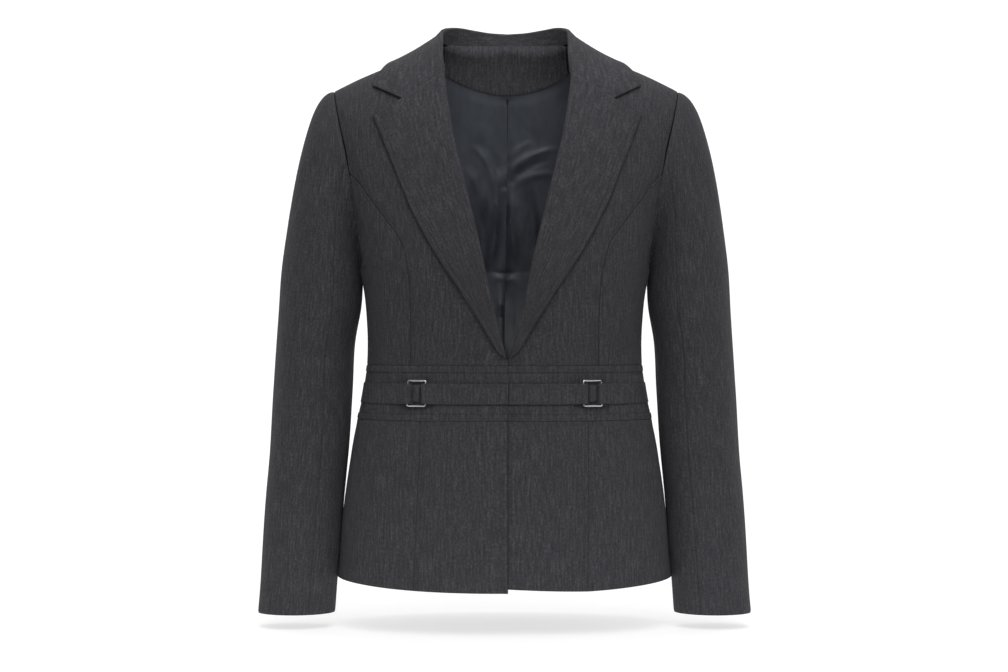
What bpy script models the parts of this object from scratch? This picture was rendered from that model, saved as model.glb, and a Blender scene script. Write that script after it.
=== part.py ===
"""A fitted blazer, worn open-necked on no wearer: every cut piece of cloth is a closed wall of its own.

Metres, +Z up, +X towards the wearer's left, the front faces -Y. The origin is the seat of the coat on
the neck and shoulders, level with the inner end of the shoulder seams. "left" and "right" are the wearer's.

The body is one smooth form, written as a function of a turn angle (0 at the middle of front or back, 90
degrees at the side) and a level (below the chest: metres under it; above: 0 at the chest, 1 at the shoulder
seam). Every panel is a patch of that form between its seams; what lies on a panel is made from the same
form, moved out along its normal.
"""
import math

import bmesh
import bpy
import numpy as np

# ---------------------------------------------------------------- driving dimensions
SEAM_GAP = 0.0003          # between pieces at a seam
HALF_GAP = SEAM_GAP / 2
CLOTH = 0.0015             # suiting, with its fusing
LINING = 0.0010            # satin lining
INSIDE_GAP = 0.0018        # facing and lining hang this far inside the back
COLLAR_CLOTH = 0.0020      # collar and lapels: two cloths and interlining
CHEST_Z = -0.263           # underarm level
HEM_Z = -0.618
SHOULDER_RISE = 0.036      # height of the shoulder line carried on to the middle
SHOULDER_SLOPE = 0.49      # fall of the shoulder line for each metre outwards
ROUND = 2.3                # squareness of the body's level sections
SHOULDER_SPREAD = 0.060    # how far the form's half-width grows from chest to shoulder
LEAN = 0.0035              # the shoulders sit this far to the wearer's left
LEAN_FROM, LEAN_TO = -0.37, -0.07
CLOSING_X = 0.0038         # the front closes this far to the wearer's left of the middle
OVER_RISE = 0.0019         # the wearer's right front lies over the left by this much
UNDER_REACH = -0.018       # the left front runs on beneath to here
BAND_TOP, BAND_FOOT = -0.372, -0.433
TUCK_TOP, TUCK_FOOT = -0.379, -0.427
TUCK_RISE = 0.0008
BELT_TOP, BELT_FOOT = -0.3918, -0.4148

# the body's level sections, from the chest down: level z, half-width, depth in front, depth behind
TORSO = (
    (-0.263, 0.1650, 0.1300, 0.1050),
    (-0.293, 0.1602, 0.1270, 0.1010),
    (-0.321, 0.1580, 0.1210, 0.0950),
    (-0.348, 0.1570, 0.1140, 0.0880),
    (-0.372, 0.1578, 0.1080, 0.0830),
    (-0.392, 0.1605, 0.1065, 0.0820),
    (-0.415, 0.1645, 0.1075, 0.0835),
    (-0.433, 0.1680, 0.1100, 0.0870),
    (-0.459, 0.1730, 0.1130, 0.0920),
    (-0.486, 0.1775, 0.1155, 0.0975),
    (-0.532, 0.1838, 0.1190, 0.1055),
    (-0.575, 0.1880, 0.1220, 0.1110),
    (-0.618, 0.1915, 0.1250, 0.1150),
)
# how the form closes from the chest to the shoulder seam: power of the height, power of what is left
CLOSE_FRONT = (1.7, 0.58)
CLOSE_BACK = (2.2, 0.50)

# the armhole seam: level, distance from the middle
ARMHOLE = (
    (0.00, 0.1650), (0.03, 0.1605), (0.09, 0.1643), (0.18, 0.1690), (0.29, 0.1735),
    (0.41, 0.1790), (0.57, 0.1870), (0.75, 0.1930), (1.00, 0.1960),
)
# the roll line where the lapel turns over, and the neck seam above it: height, distance from the closing line
ROLL = (
    (-0.3660, 0.0010), (-0.3020, 0.0170), (-0.2400, 0.0302), (-0.1790, 0.0448), (-0.1090, 0.0612),
    (-0.0500, 0.0700), (-0.0310, 0.0722), (0.0120, 0.0736),
)
GORGE_Z = -0.0442          # where the collar seam meets the roll line
# the lapel's free edge: height, distance from the closing line
LAPEL_EDGE = (
    (-0.3633, 0.0077), (-0.3280, 0.0280), (-0.2917, 0.0506), (-0.2554, 0.0748), (-0.1951, 0.1074),
    (-0.1566, 0.1234), (-0.1184, 0.1390), (-0.0933, 0.1488),
)
# the bodice's front seam, from the armhole to the waist: height, distance from the middle
PRINCESS = (
    (-0.3720, 0.1044), (-0.3000, 0.1052), (-0.2600, 0.1090), (-0.2319, 0.1176), (-0.2106, 0.1334),
    (-0.1854, 0.1520), (-0.1610, 0.1700), (-0.1400, 0.1950), (-0.1000, 0.2400),
)
# the seam in the skirt's front: side, distance from the middle at the band, at the hem
SKIRT_SEAM = {"right": (0.0935, 0.1010), "left": (0.0935, 0.0925)}

# the sleeve: height, middle x, middle y, half-width, half-depth
SLEEVE = (
    (-0.060, 0.2000, 0.0030, 0.0350, 0.0500),
    (-0.110, 0.2000, 0.0030, 0.0360, 0.0530),
    (-0.155, 0.2018, 0.0040, 0.0385, 0.0565),
    (-0.210, 0.2065, 0.0050, 0.0425, 0.0600),
    (-0.263, 0.2098, 0.0060, 0.0460, 0.0620),
    (-0.302, 0.2118, 0.0060, 0.0472, 0.0610),
    (-0.348, 0.2177, 0.0055, 0.0450, 0.0580),
    (-0.400, 0.2210, 0.0030, 0.0450, 0.0540),
    (-0.459, 0.2245, -0.0020, 0.0452, 0.0500),
    (-0.532, 0.2308, -0.0090, 0.0437, 0.0450),
    (-0.616, 0.2366, -0.0180, 0.0434, 0.0405),
    (-0.653, 0.2390, -0.0220, 0.0434, 0.0390),
)
CUFF_Z = -0.653
SLEEVE_HEAD_DROP = (0.085, 0.035)   # mean drop of the head's quarter turn, and its swing to the top
SLEEVE_SHIFT = 0.0009      # the sleeve's head stands this far outside the armhole edge
SLEEVE_CLEAR = 0.0006      # and under the arm this far off the body
SLEEVE_SPLIT = 5 / 8       # share of the armhole from the shoulder to each sleeve seam

# half of the collar, from the middle of the back to the gorge: neck seam x y, fold x y z, outer edge x y
COLLAR = (
    (0.0000, 0.0520, 0.0000, 0.0545, 0.0155, 0.0000, 0.0704),
    (0.0200, 0.0501, 0.0190, 0.0524, 0.0155, 0.0260, 0.0648),
    (0.0390, 0.0450, 0.0368, 0.0463, 0.0155, 0.0535, 0.0570),
    (0.0560, 0.0360, 0.0527, 0.0353, 0.0155, 0.0835, 0.0462),
    (0.0690, 0.0235, 0.0652, 0.0205, 0.0157, 0.1120, 0.0300),
    (0.0765, 0.0080, 0.0722, 0.0050, 0.0157, 0.1310, 0.0095),
    (0.0775, -0.0100, 0.0736, -0.0110, 0.0100, 0.1375, -0.0090),
    (0.0763, -0.0280, 0.0732, -0.0300, -0.0040, 0.1425, -0.0195),
    (0.0742, -0.0440, 0.0726, -0.0470, -0.0215, 0.1468, -0.0275),
    (0.0722, -0.0580, 0.0712, -0.0600, -0.0380, 0.1500, -0.0344),
)
NECK = (0.0775, 0.0520)    # the back neck seam seen from above: half-width, depth
NECK_LEVEL = 0.668         # the level where the back's middle meets that seam
NOTCH_X = 0.1180           # where collar and lapel part: distance from the closing line
NOTCH_SHARE = 0.6          # share of the collar's end that is sewn to the lapel
COLLAR_TIP = (0.1500, -0.0583)      # the collar's corner: distance from the closing line, height
COLLAR_RISE = 0.0036       # the fall's outer face above the form
COLLAR_FOLD = 0.0028       # radius of the collar's fold
COLLAR_BEND = 0.65         # share of the half collar from which it turns onto the gorge line
STAND_FOOT_GAP = 0.0012    # the stand's foot above the neck seam
GORGE_GAP = 0.0008         # between the collar's and the lapel's walls along their seam

ROLL_RADIUS = 0.0034       # of the lapel's turn
ROLL_ARCS = (265.0, 220.0, 180.0, 135.0)   # where the turned cloth is cut round it, in degrees
FRONT_PAST_ROLL = 0.0046   # the front's cloth ends this far outside the roll line
LAPEL_FOOT = -0.3612       # lower end of the lapel's roll
LAPEL_RISE = (0.0030, 0.0020)       # outer face above the front, and more towards the roll

FACING_FOOT = (-0.0535, 0.0095, 0.050)     # height of its lower edge, and its rise at a distance
FACING_HALF = 0.064        # half-width of the back neck facing
FACING_UNDER = 0.0008      # its top under the neck seam
LINING_FOOT = HEM_Z + 0.018
LINING_TOP = (0.003, 0.014)         # the lining's top under the facing's foot, under the shoulder seam
LINING_SIDE = (0.006, 0.004)        # its edge inside the armhole, inside the side seam
LINING_MIDDLE = 0.0004     # half the gap of its middle seam
LINING_SLACK = 0.0025      # further room behind the lining at the waist

BUCKLE_X = 0.0963          # middle of each buckle
BUCKLE_HALF = (0.0108, 0.0140)      # half-width and half-height to the middle of the wire
BUCKLE_Z = -0.4027
BUCKLE_WIRE = 0.0012
BUCKLE_RISE = 0.0036
BUCKLE_CORNER = 0.0016
SLOT_HALF = 0.0055         # half of the cloth showing between the two belt loops
BELT_REST = 0.0023         # the belt's outer face above the band
BAR_RISE = BUCKLE_RISE + 0.00045    # the upright wires stand further off, because the body curves away
LOOP_TOP = BAR_RISE + BUCKLE_WIRE + SEAM_GAP + CLOTH
# a belt end's outer face from its turned-back tip: distance from the slot, rise over the band, way it faces
BELT_LOOP = (
    (0.0090, 0.0004, -90.0), (0.0024, 0.0004, -90.0), (0.0006, 0.0012, -135.0), (0.0000, 0.0036, 180.0),
    (0.0006, LOOP_TOP - 0.0010, 135.0), (0.0026, LOOP_TOP, 90.0), (0.0078, LOOP_TOP - 0.0003, 84.0),
)
LOOP_END = 0.0155          # where the strip is down on the band again

# rows of the panels
SIDE_FRONT_TIP = 0.05      # turn left between the two seams at the side front's upper tip
SEAM_PAST = 0.02           # level by which the centre front takes over the armhole above that tip
TOP_LEVEL = 1.0 - 2e-4     # half a gap under the shoulder seam
SIDE_TURN = math.pi / 2 - 0.0012    # half a gap short of the side seam
UPPER_LEVELS = np.linspace(0.0, 1.0, 9)
BODICE_HEIGHTS = np.array([-0.3718, -0.3668, -0.3650, -0.345, -0.319, -0.291])
TUCK_EDGE = 5e-4           # height over which a tuck's edge steps down
BAND_HEIGHTS = np.array([BAND_TOP - SEAM_GAP, TUCK_TOP, TUCK_TOP - TUCK_EDGE, BELT_TOP, BELT_FOOT,
                         TUCK_FOOT + TUCK_EDGE, TUCK_FOOT, BAND_FOOT + HALF_GAP])
BAND_INNER = 0.040         # distance up to which the band's columns are even
SKIRT_HEIGHTS = np.array([BAND_FOOT - HALF_GAP, -0.459, -0.486, -0.515, -0.548, -0.583, HEM_Z])
UNDER_HEM = 0.003          # the left front's hem is shorter where it lies under the right

CHARCOAL = (0.045, 0.043, 0.050)
SATIN = (0.020, 0.026, 0.038)
STEEL = (0.55, 0.55, 0.57)
SHARP_ANGLE = 40           # degrees between faces from which an edge is left sharp


# ---------------------------------------------------------------- form
def smooth(table, column, at):
    """A curve through one column of a table, with even slopes at its rows."""
    rows = sorted(table)
    knots = np.array([row[0] for row in rows])
    values = np.array([row[column] for row in rows])
    at = np.clip(np.asarray(at, float), knots[0], knots[-1])
    slopes = np.gradient(values, knots)
    i = np.clip(np.searchsorted(knots, at) - 1, 0, len(knots) - 2)
    span = knots[i + 1] - knots[i]
    t = (at - knots[i]) / span
    return ((2 * t**3 - 3 * t**2 + 1) * values[i] + (t**3 - 2 * t**2 + t) * span * slopes[i]
            + (3 * t**2 - 2 * t**3) * values[i + 1] + (t**3 - t**2) * span * slopes[i + 1])


def ease(low, high, at):
    """0 below low, 1 above high, and a soft step between."""
    t = np.clip((np.asarray(at, float) - low) / (high - low), 0.0, 1.0)
    return t * t * (3 - 2 * t)


def shoulder_z(x):
    """Height of the shoulder line at a distance from the middle."""
    return SHOULDER_RISE - SHOULDER_SLOPE * np.abs(x)


def lean(z):
    """How far the coat stands to the wearer's left at a height."""
    return LEAN * ease(LEAN_FROM, LEAN_TO, z)


def closing_x(z):
    """The closing line's distance from the leaning middle."""
    return CLOSING_X - lean(z)


def half_width(level):
    """The form's half-width: from the table below the chest, growing above it."""
    level = np.asarray(level, float)
    rise = np.sin(np.pi / 2 * np.clip(level, 0, 1))
    below = smooth(TORSO, 1, CHEST_Z + np.minimum(level, 0))
    return below + SHOULDER_SPREAD * rise**1.3


def form(turn, level, back=False):
    """Points of the body's form for turns and levels; x is the distance from the middle."""
    turn, level = np.broadcast_arrays(np.asarray(turn, float), np.asarray(level, float))
    rise = np.sin(np.pi / 2 * np.clip(level, 0, 1))
    power, left = CLOSE_BACK if back else CLOSE_FRONT
    depth = smooth(TORSO, 3 if back else 2, CHEST_Z + np.minimum(level, 0))
    x = half_width(level) * np.sign(turn) * np.abs(np.sin(turn)) ** (2 / ROUND)
    y = depth * np.maximum(np.cos(turn), 0) ** (2 / ROUND) * np.maximum(1 - rise**power, 0) ** left
    y = np.maximum(y, HALF_GAP)
    z = CHEST_Z + np.minimum(level, 0) + (shoulder_z(x) - CHEST_Z) * rise
    return np.stack([x, y if back else -y, z], axis=-1)


def turn_of(x, level):
    """The turn at which the form is a distance x from the middle; negative across it."""
    return np.sign(x) * np.arcsin(np.clip(np.abs(x) / half_width(level), 0, 1) ** (ROUND / 2))


def unit(v):
    """Vectors brought to length one."""
    return v / np.maximum(np.linalg.norm(v, axis=-1, keepdims=True), 1e-12)


def form_normal(turn, level, back=False):
    """Outward normals of the form."""
    turn, level = np.broadcast_arrays(np.clip(turn, 0.02, np.pi / 2 - 0.02), np.asarray(level, float))
    at_seam = (level > 0.999)[..., None]
    level = np.minimum(level, 0.995)
    step = 1e-3
    across = form(turn + step, level, back) - form(turn - step, level, back)
    up = form(turn, level + step, back) - form(turn, level - step, back)
    n = np.cross(up, across) if back else np.cross(across, up)
    return unit(np.where(at_seam, n * [1.0, 0.0, 1.0], n))


def depth_at(x, z, back=False):
    """Depth of the form at a place seen from the front (or the back)."""
    x, z = np.broadcast_arrays(np.abs(np.asarray(x, float)), np.asarray(z, float))
    rise = np.clip((z - CHEST_Z) / (shoulder_z(x) - CHEST_Z), 0, 1)
    power, left = CLOSE_BACK if back else CLOSE_FRONT
    low = np.minimum(z, CHEST_Z)
    width = smooth(TORSO, 1, low) + SHOULDER_SPREAD * rise**1.3
    depth = smooth(TORSO, 3 if back else 2, low)
    across = np.maximum(1 - (x / width) ** ROUND, 0) ** (1 / ROUND)
    return depth * across * np.maximum(1 - rise**power, 0) ** left


def seen(x, z, back=False):
    """Points of the form at places seen from the front (or the back), and their outward normals."""
    x, z = np.broadcast_arrays(np.asarray(x, float), np.asarray(z, float))
    sign = 1.0 if back else -1.0
    step = 5e-4
    slope_x = (depth_at(x + step, z, back) - depth_at(x - step, z, back)) / (2 * step)
    slope_z = (depth_at(x, z + step, back) - depth_at(x, z - step, back)) / (2 * step)
    points = np.stack([x, sign * depth_at(x, z, back), z], axis=-1)
    return points, unit(np.stack([-slope_x, np.full_like(x, sign), -slope_z], axis=-1))


def crossing(level, distance_of_z, back=False):
    """The turn, on each level, where the form meets a line given as distance by height."""
    turns = np.linspace(-0.15, np.pi / 2, 500)
    found = []
    for one in np.atleast_1d(level):
        p = form(turns, one, back)
        found.append(np.interp(0.0, p[:, 0] - distance_of_z(p[:, 2]), turns))
    return np.array(found)


def over_rise(x, z):
    """How far the wearer's right front stands out where it lies over the left one (signed x)."""
    return OVER_RISE * ease(-0.052, -0.028, x) * (1 - ease(-0.362, -0.325, z))


# ---------------------------------------------------------------- solids
def material(name, colour, roughness, metallic=0.0):
    """A plain material with the piece's colour."""
    made = bpy.data.materials.new(name)
    made.use_nodes = True
    shader = made.node_tree.nodes["Principled BSDF"]
    shader.inputs["Base Color"].default_value = (*colour, 1.0)
    shader.inputs["Roughness"].default_value = roughness
    shader.inputs["Metallic"].default_value = metallic
    return made


def facing_out(mesh):
    """Turn a closed mesh's faces outwards."""
    shape = bmesh.new()
    shape.from_mesh(mesh)
    if shape.calc_volume(signed=True) < 0:
        bmesh.ops.reverse_faces(shape, faces=shape.faces)
    shape.to_mesh(mesh)
    shape.free()


def wall(name, outer, inner, finish):
    """A closed solid between two grids of points."""
    rows, columns = outer.shape[:2]
    points = np.concatenate([outer.reshape(-1, 3), inner.reshape(-1, 3)])
    points[:, 0] += lean(points[:, 2])
    index = np.arange(rows * columns).reshape(rows, columns)
    under = index + rows * columns
    faces = []

    def quads(a, b, c, d):
        faces.extend(np.stack([a.ravel(), b.ravel(), c.ravel(), d.ravel()], axis=1).tolist())

    quads(index[:-1, :-1], index[:-1, 1:], index[1:, 1:], index[1:, :-1])
    quads(under[:-1, :-1], under[1:, :-1], under[1:, 1:], under[:-1, 1:])
    quads(index[0, :-1], under[0, :-1], under[0, 1:], index[0, 1:])
    quads(index[-1, :-1], index[-1, 1:], under[-1, 1:], under[-1, :-1])
    quads(index[:-1, 0], index[1:, 0], under[1:, 0], under[:-1, 0])
    quads(index[:-1, -1], under[:-1, -1], under[1:, -1], index[1:, -1])
    mesh = bpy.data.meshes.new(name)
    mesh.from_pydata(points.tolist(), [], faces)
    facing_out(mesh)
    mesh.shade_smooth()
    mesh.set_sharp_from_angle(angle=math.radians(SHARP_ANGLE))
    mesh.materials.append(finish)
    bpy.context.scene.collection.objects.link(bpy.data.objects.new(name, mesh))


def tube(name, rings, finish):
    """A closed ring of wire: rows run round the wire, columns along it, and both close."""
    around, along = rings.shape[:2]
    points = rings.reshape(-1, 3)
    points[:, 0] += lean(points[:, 2])
    index = np.arange(around * along).reshape(around, along)
    index = np.concatenate([index, index[:1]], axis=0)
    index = np.concatenate([index, index[:, :1]], axis=1)
    faces = np.stack([index[:-1, :-1], index[:-1, 1:], index[1:, 1:], index[1:, :-1]], axis=-1).reshape(-1, 4)
    mesh = bpy.data.meshes.new(name)
    mesh.from_pydata(points.tolist(), [], faces.tolist())
    facing_out(mesh)
    mesh.shade_smooth()
    mesh.materials.append(finish)
    bpy.context.scene.collection.objects.link(bpy.data.objects.new(name, mesh))


def mirrored(points, side):
    """Points put on the wearer's left (as made) or right."""
    return points * np.array([1.0 if side == "left" else -1.0, 1.0, 1.0])


def no_rise(x, z):
    """No rise over the form anywhere."""
    return np.zeros(np.broadcast(x, z).shape)


def form_panel(name, turns, levels, side, finish, back=False, extra=no_rise):
    """A panel of the form; turns and levels are grids, extra gives its rise by signed x and z."""
    points, normals = form(turns, levels, back), form_normal(turns, levels, back)
    points, normals = mirrored(points, side), mirrored(normals, side)
    outer = points + normals * extra(points[..., 0], points[..., 2])[..., None]
    wall(name, outer, outer - normals * CLOTH, finish)


def inside_panel(name, x, z, finish, depth):
    """A panel hung inside the back, laid out as seen from the back, with signed x."""
    points, normals = seen(x, z, True)
    outer = points - normals * (np.zeros(points.shape[:2]) + depth)[..., None]
    wall(name, outer, outer - normals * LINING, finish)


def between(first, last, count):
    """Rows of evenly spaced steps between two arrays, as a grid of len(first) x count."""
    steps = np.linspace(0.0, 1.0, count)
    first, last = np.asarray(first, float)[:, None], np.asarray(last, float)[:, None]
    return first + (last - first) * steps


def inset(low, high, levels, back=False):
    """Two seam turns drawn together by half a seam's gap on each side."""
    here = form(low, levels, back)
    there = form(high, levels, back)
    reach = np.maximum(np.linalg.norm(there - here, axis=-1), 1e-4)
    share = HALF_GAP / reach * (high - low)
    return low + share, high - share


def below_chest(z):
    """The level of a height under the chest."""
    return z - CHEST_Z


# ---------------------------------------------------------------- pieces
def armhole_turn(level):
    """Turn of the armhole seam; the side seam below the chest."""
    return np.where(level <= 0, np.pi / 2, turn_of(smooth(ARMHOLE, 1, np.maximum(level, 0)), level))


def bodice_levels(top):
    """Levels from the waist seam to the top."""
    return np.concatenate([below_chest(BODICE_HEIGHTS), UPPER_LEVELS[UPPER_LEVELS < top], [top]])


def front_edge(side):
    """The front's inner edge by height: just outside the roll line, or the closing line below it."""
    sign = 1.0 if side == "left" else -1.0

    def distance(z):
        rolled = smooth(ROLL, 1, z) + FRONT_PAST_ROLL + sign * closing_x(z)
        return np.where(z > ROLL[0][0], rolled, sign * closing_x(z) + HALF_GAP)
    return distance


def princess_turn(levels):
    """Turn of the long curved front seam on each level."""
    return crossing(levels, lambda z: smooth(PRINCESS, 1, z))


def side_front_top():
    """The level just under the point where the curved seam runs into the armhole."""
    levels = np.linspace(0.02, 0.6, 117)
    apart = armhole_turn(levels) - princess_turn(levels)
    return levels[np.argmax(apart < SIDE_FRONT_TIP)]


def make_bodice_fronts(cloth):
    """Centre fronts and side fronts, parted by the long curved seam."""
    tip = side_front_top()
    for side in ("left", "right"):
        extra = over_rise if side == "right" else no_rise
        levels = np.sort(np.append(bodice_levels(TOP_LEVEL), [tip, tip + SEAM_PAST]))
        edge, seam, armhole = crossing(levels, front_edge(side)), princess_turn(levels), armhole_turn(levels)
        seam = np.where(levels > tip + 1e-6, armhole, seam)
        low, high = inset(edge, seam, levels)
        form_panel(f"front_centre_{side}", between(low, high, 7), levels[:, None], side, cloth, extra=extra)
        levels = np.append(bodice_levels(1.0)[:-1], tip)
        levels = np.sort(levels[levels <= tip])
        low, high = inset(princess_turn(levels), armhole_turn(levels), levels)
        form_panel(f"front_side_{side}", between(low, high, 5), levels[:, None], side, cloth, extra=extra)


def neck_turn(levels):
    """Where the back neck seam cuts each level, 0 below it."""
    turns = np.linspace(0.0, np.pi / 2, 400)
    found = []
    for one in levels:
        p = form(turns, one, True)
        past = (p[:, 0] / NECK[0]) ** 2 + (p[:, 1] / NECK[1]) ** 2 - 1
        found.append(0.0 if past[0] > 0 else turns[np.argmax(past > 0)])
    return np.array(found)


def make_bodice_backs(cloth):
    """Two backs with a middle seam, from the waist band to the shoulder seams and the neck."""
    for side in ("left", "right"):
        levels = np.sort(np.append(bodice_levels(TOP_LEVEL), NECK_LEVEL))
        low, high = inset(neck_turn(levels), armhole_turn(levels), levels, True)
        low = np.maximum(low, turn_of(HALF_GAP, levels))
        form_panel(f"back_{side}", between(low, high, 8), levels[:, None], side, cloth, back=True)


def band_rise(z):
    """The two tucks along the waistband's top and bottom edges."""
    above, below = ease(TUCK_TOP - TUCK_EDGE, TUCK_TOP, z), ease(TUCK_FOOT, TUCK_FOOT + TUCK_EDGE, z)
    return TUCK_RISE * (above + 1 - below)


def ring_panel(name, side, start_x, count, cloth, back=False):
    """A skirt panel from a distance (by height) round to the side seam."""
    levels = below_chest(SKIRT_HEIGHTS)
    low = turn_of(start_x, levels)
    turns = between(low, np.full_like(low, SIDE_TURN), count)
    form_panel(name, turns, levels[:, None], side, cloth, back=back)


def place(x, z):
    """Points and outward normals of the form's front below the chest, at signed distances and heights."""
    turn, level = turn_of(x, below_chest(z)), below_chest(z)
    flip = np.stack([np.where(x < 0, -1.0, 1.0), np.ones_like(x), np.ones_like(x)], axis=-1)
    return form(turn, level), form_normal(np.abs(turn), level) * flip


def placed_panel(name, x, z, finish, lift):
    """A front panel laid out by signed x and height that may reach the side seam."""
    points, normals = place(x, z)
    outer = points + normals * lift[..., None]
    wall(name, outer, outer - normals * CLOTH, finish)


def make_waistband(cloth):
    """The shaped band between bodice and skirt; the left front end runs on under the right."""
    across = np.sin(np.linspace(0, np.pi / 2, 8)) ** (2 / ROUND)
    for side in ("left", "right"):
        sign = 1.0 if side == "left" else -1.0
        start = UNDER_REACH if side == "left" else -CLOSING_X
        width = (smooth(TORSO, 1, BAND_HEIGHTS) * np.sin(SIDE_TURN) ** (2 / ROUND))[:, None]
        near = np.linspace(start, BAND_INNER, 4)[:-1] + 0 * width
        x = sign * np.concatenate([near, BAND_INNER + (width - BAND_INNER) * across], axis=1)
        z = BAND_HEIGHTS[:, None] + 0 * x
        lift = band_rise(z) + (over_rise(x, z) if side == "right" else 0.0)
        placed_panel(f"waistband_front_{side}", x, z, cloth, lift)
    z = BAND_HEIGHTS[:, None]
    turns = np.linspace(-SIDE_TURN, SIDE_TURN, 15)[None, :] + 0 * z
    points = form(np.abs(turns), below_chest(z), True)
    normals = form_normal(np.abs(turns), below_chest(z), True)
    flip = np.stack([np.sign(turns), np.ones_like(turns), np.ones_like(turns)], axis=-1)
    normals = np.where(turns[..., None] == 0, [0.0, 1.0, 0.0], normals * flip)
    outer = points * flip + normals * band_rise(z + 0 * turns)[..., None]
    wall("waistband_back", outer, outer - normals * CLOTH, cloth)


def make_skirt(cloth):
    """The flared skirt under the band: centre fronts, side fronts and two backs."""
    for side in ("left", "right"):
        sign = 1.0 if side == "left" else -1.0
        heights = SKIRT_HEIGHTS.copy()
        if side == "left":
            heights[-1] += UNDER_HEM
        extra = over_rise if side == "right" else no_rise
        top, foot = SKIRT_SEAM[side]
        seam = np.interp(heights, [HEM_Z, BAND_FOOT], [foot, top])
        start = UNDER_REACH if side == "left" else -CLOSING_X
        x = sign * between(np.full_like(seam, start), seam - HALF_GAP, 7)
        z = heights[:, None] + 0 * x
        placed_panel(f"skirt_front_centre_{side}", x, z, cloth, extra(x, z))
        seam = np.interp(SKIRT_HEIGHTS, [HEM_Z, BAND_FOOT], [foot, top])
        ring_panel(f"skirt_front_side_{side}", side, seam + HALF_GAP, 6, cloth)
        ring_panel(f"skirt_back_{side}", side, np.full_like(seam, HALF_GAP), 8, cloth, back=True)


# ---------------------------------------------------------------- sleeves
def arm_section(turn, z):
    """A sleeve's level section at each height; turn 0 is the outside of the arm, positive to the front."""
    x = smooth(SLEEVE, 1, z) + smooth(SLEEVE, 3, z) * np.cos(turn)
    y = smooth(SLEEVE, 2, z) - smooth(SLEEVE, 4, z) * np.sin(turn)
    return x, y


def sleeve_grid(turns, head_rows=7, arm_rows=13):
    """The sleeve's outer points: a quarter turn out of the armhole, then down to the cuff."""
    level = 1 - np.abs(turns) / np.pi
    level = np.minimum(level, TOP_LEVEL)
    edge_turn = armhole_turn(level)
    is_front = (turns >= 0)[:, None]
    edge = np.where(is_front, form(edge_turn, level), form(edge_turn, level, True))
    edge_normal = np.where(is_front, form_normal(edge_turn, level), form_normal(edge_turn, level, True))
    clear = SLEEVE_CLEAR * (1 - np.cos(turns)[:, None]) / 2
    edge = edge + edge_normal * clear + np.array([SLEEVE_SHIFT, 0.0, 0.0])
    mean, swing = SLEEVE_HEAD_DROP
    drop = mean + swing * np.cos(turns)
    arc = np.linspace(0.0, np.pi / 2, head_rows)[:, None]
    z_head = edge[None, :, 2] - drop * (1 - np.cos(arc))
    z_arm = z_head[-1] + (CUFF_Z - z_head[-1]) * np.linspace(0, 1, arm_rows)[1:, None]
    z = np.concatenate([z_head, z_arm])
    share = np.concatenate([np.sin(arc) + 0 * z_head, np.ones_like(z_arm)])
    x, y = arm_section(turns, z)
    x = edge[None, :, 0] + (x - edge[None, :, 0]) * share
    y = edge[None, :, 1] + (y - edge[None, :, 1]) * share
    return np.stack([x, y, z], axis=-1)


def round_arm(turns):
    """Turns brought between minus and plus half a round."""
    return (turns + np.pi) % (2 * np.pi) - np.pi


def make_sleeves(cloth):
    """Upper and under sleeve of each arm, with the front and hind arm seams."""
    full = np.linspace(-np.pi, np.pi, 17)
    split = SLEEVE_SPLIT * np.pi
    gap = HALF_GAP / smooth(SLEEVE, 4, CHEST_Z)
    step = 1e-3
    upper = full[np.abs(full) <= split + 1e-6]
    under = np.concatenate([full[full >= split - 1e-6], full[1:][full[1:] <= -split + 1e-6] + 2 * np.pi])
    for name, turns in (("upper", upper), ("under", under)):
        turns[0] += gap
        turns[-1] -= gap
        grid = sleeve_grid(round_arm(turns))
        around = sleeve_grid(round_arm(turns + step)) - sleeve_grid(round_arm(turns - step))
        normal = unit(np.cross(np.gradient(grid, axis=0), around))
        centre = np.array([SLEEVE[-1][1], SLEEVE[-1][2], CUFF_Z])
        normal = normal * np.sign(np.sum(normal[-1] * (grid[-1] - centre)))
        inner = grid - normal * CLOTH
        for side in ("left", "right"):
            wall(f"sleeve_{name}_{side}", mirrored(grid, side), mirrored(inner, side), cloth)


# ---------------------------------------------------------------- collar and lapels
def lapel_line(fraction, sign):
    """Roll point and free-edge point of the lapel, seen from the front, at a fraction of its length."""
    roll_z = LAPEL_FOOT + (GORGE_Z - LAPEL_FOOT) * fraction
    edge_z = LAPEL_EDGE[0][0] + (LAPEL_EDGE[-1][0] - LAPEL_EDGE[0][0]) * fraction
    roll = smooth(ROLL, 1, roll_z) + sign * closing_x(roll_z)
    edge = smooth(LAPEL_EDGE, 1, edge_z) + sign * closing_x(edge_z)
    return np.stack([roll, roll_z], axis=-1), np.stack([edge, edge_z], axis=-1)


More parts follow.
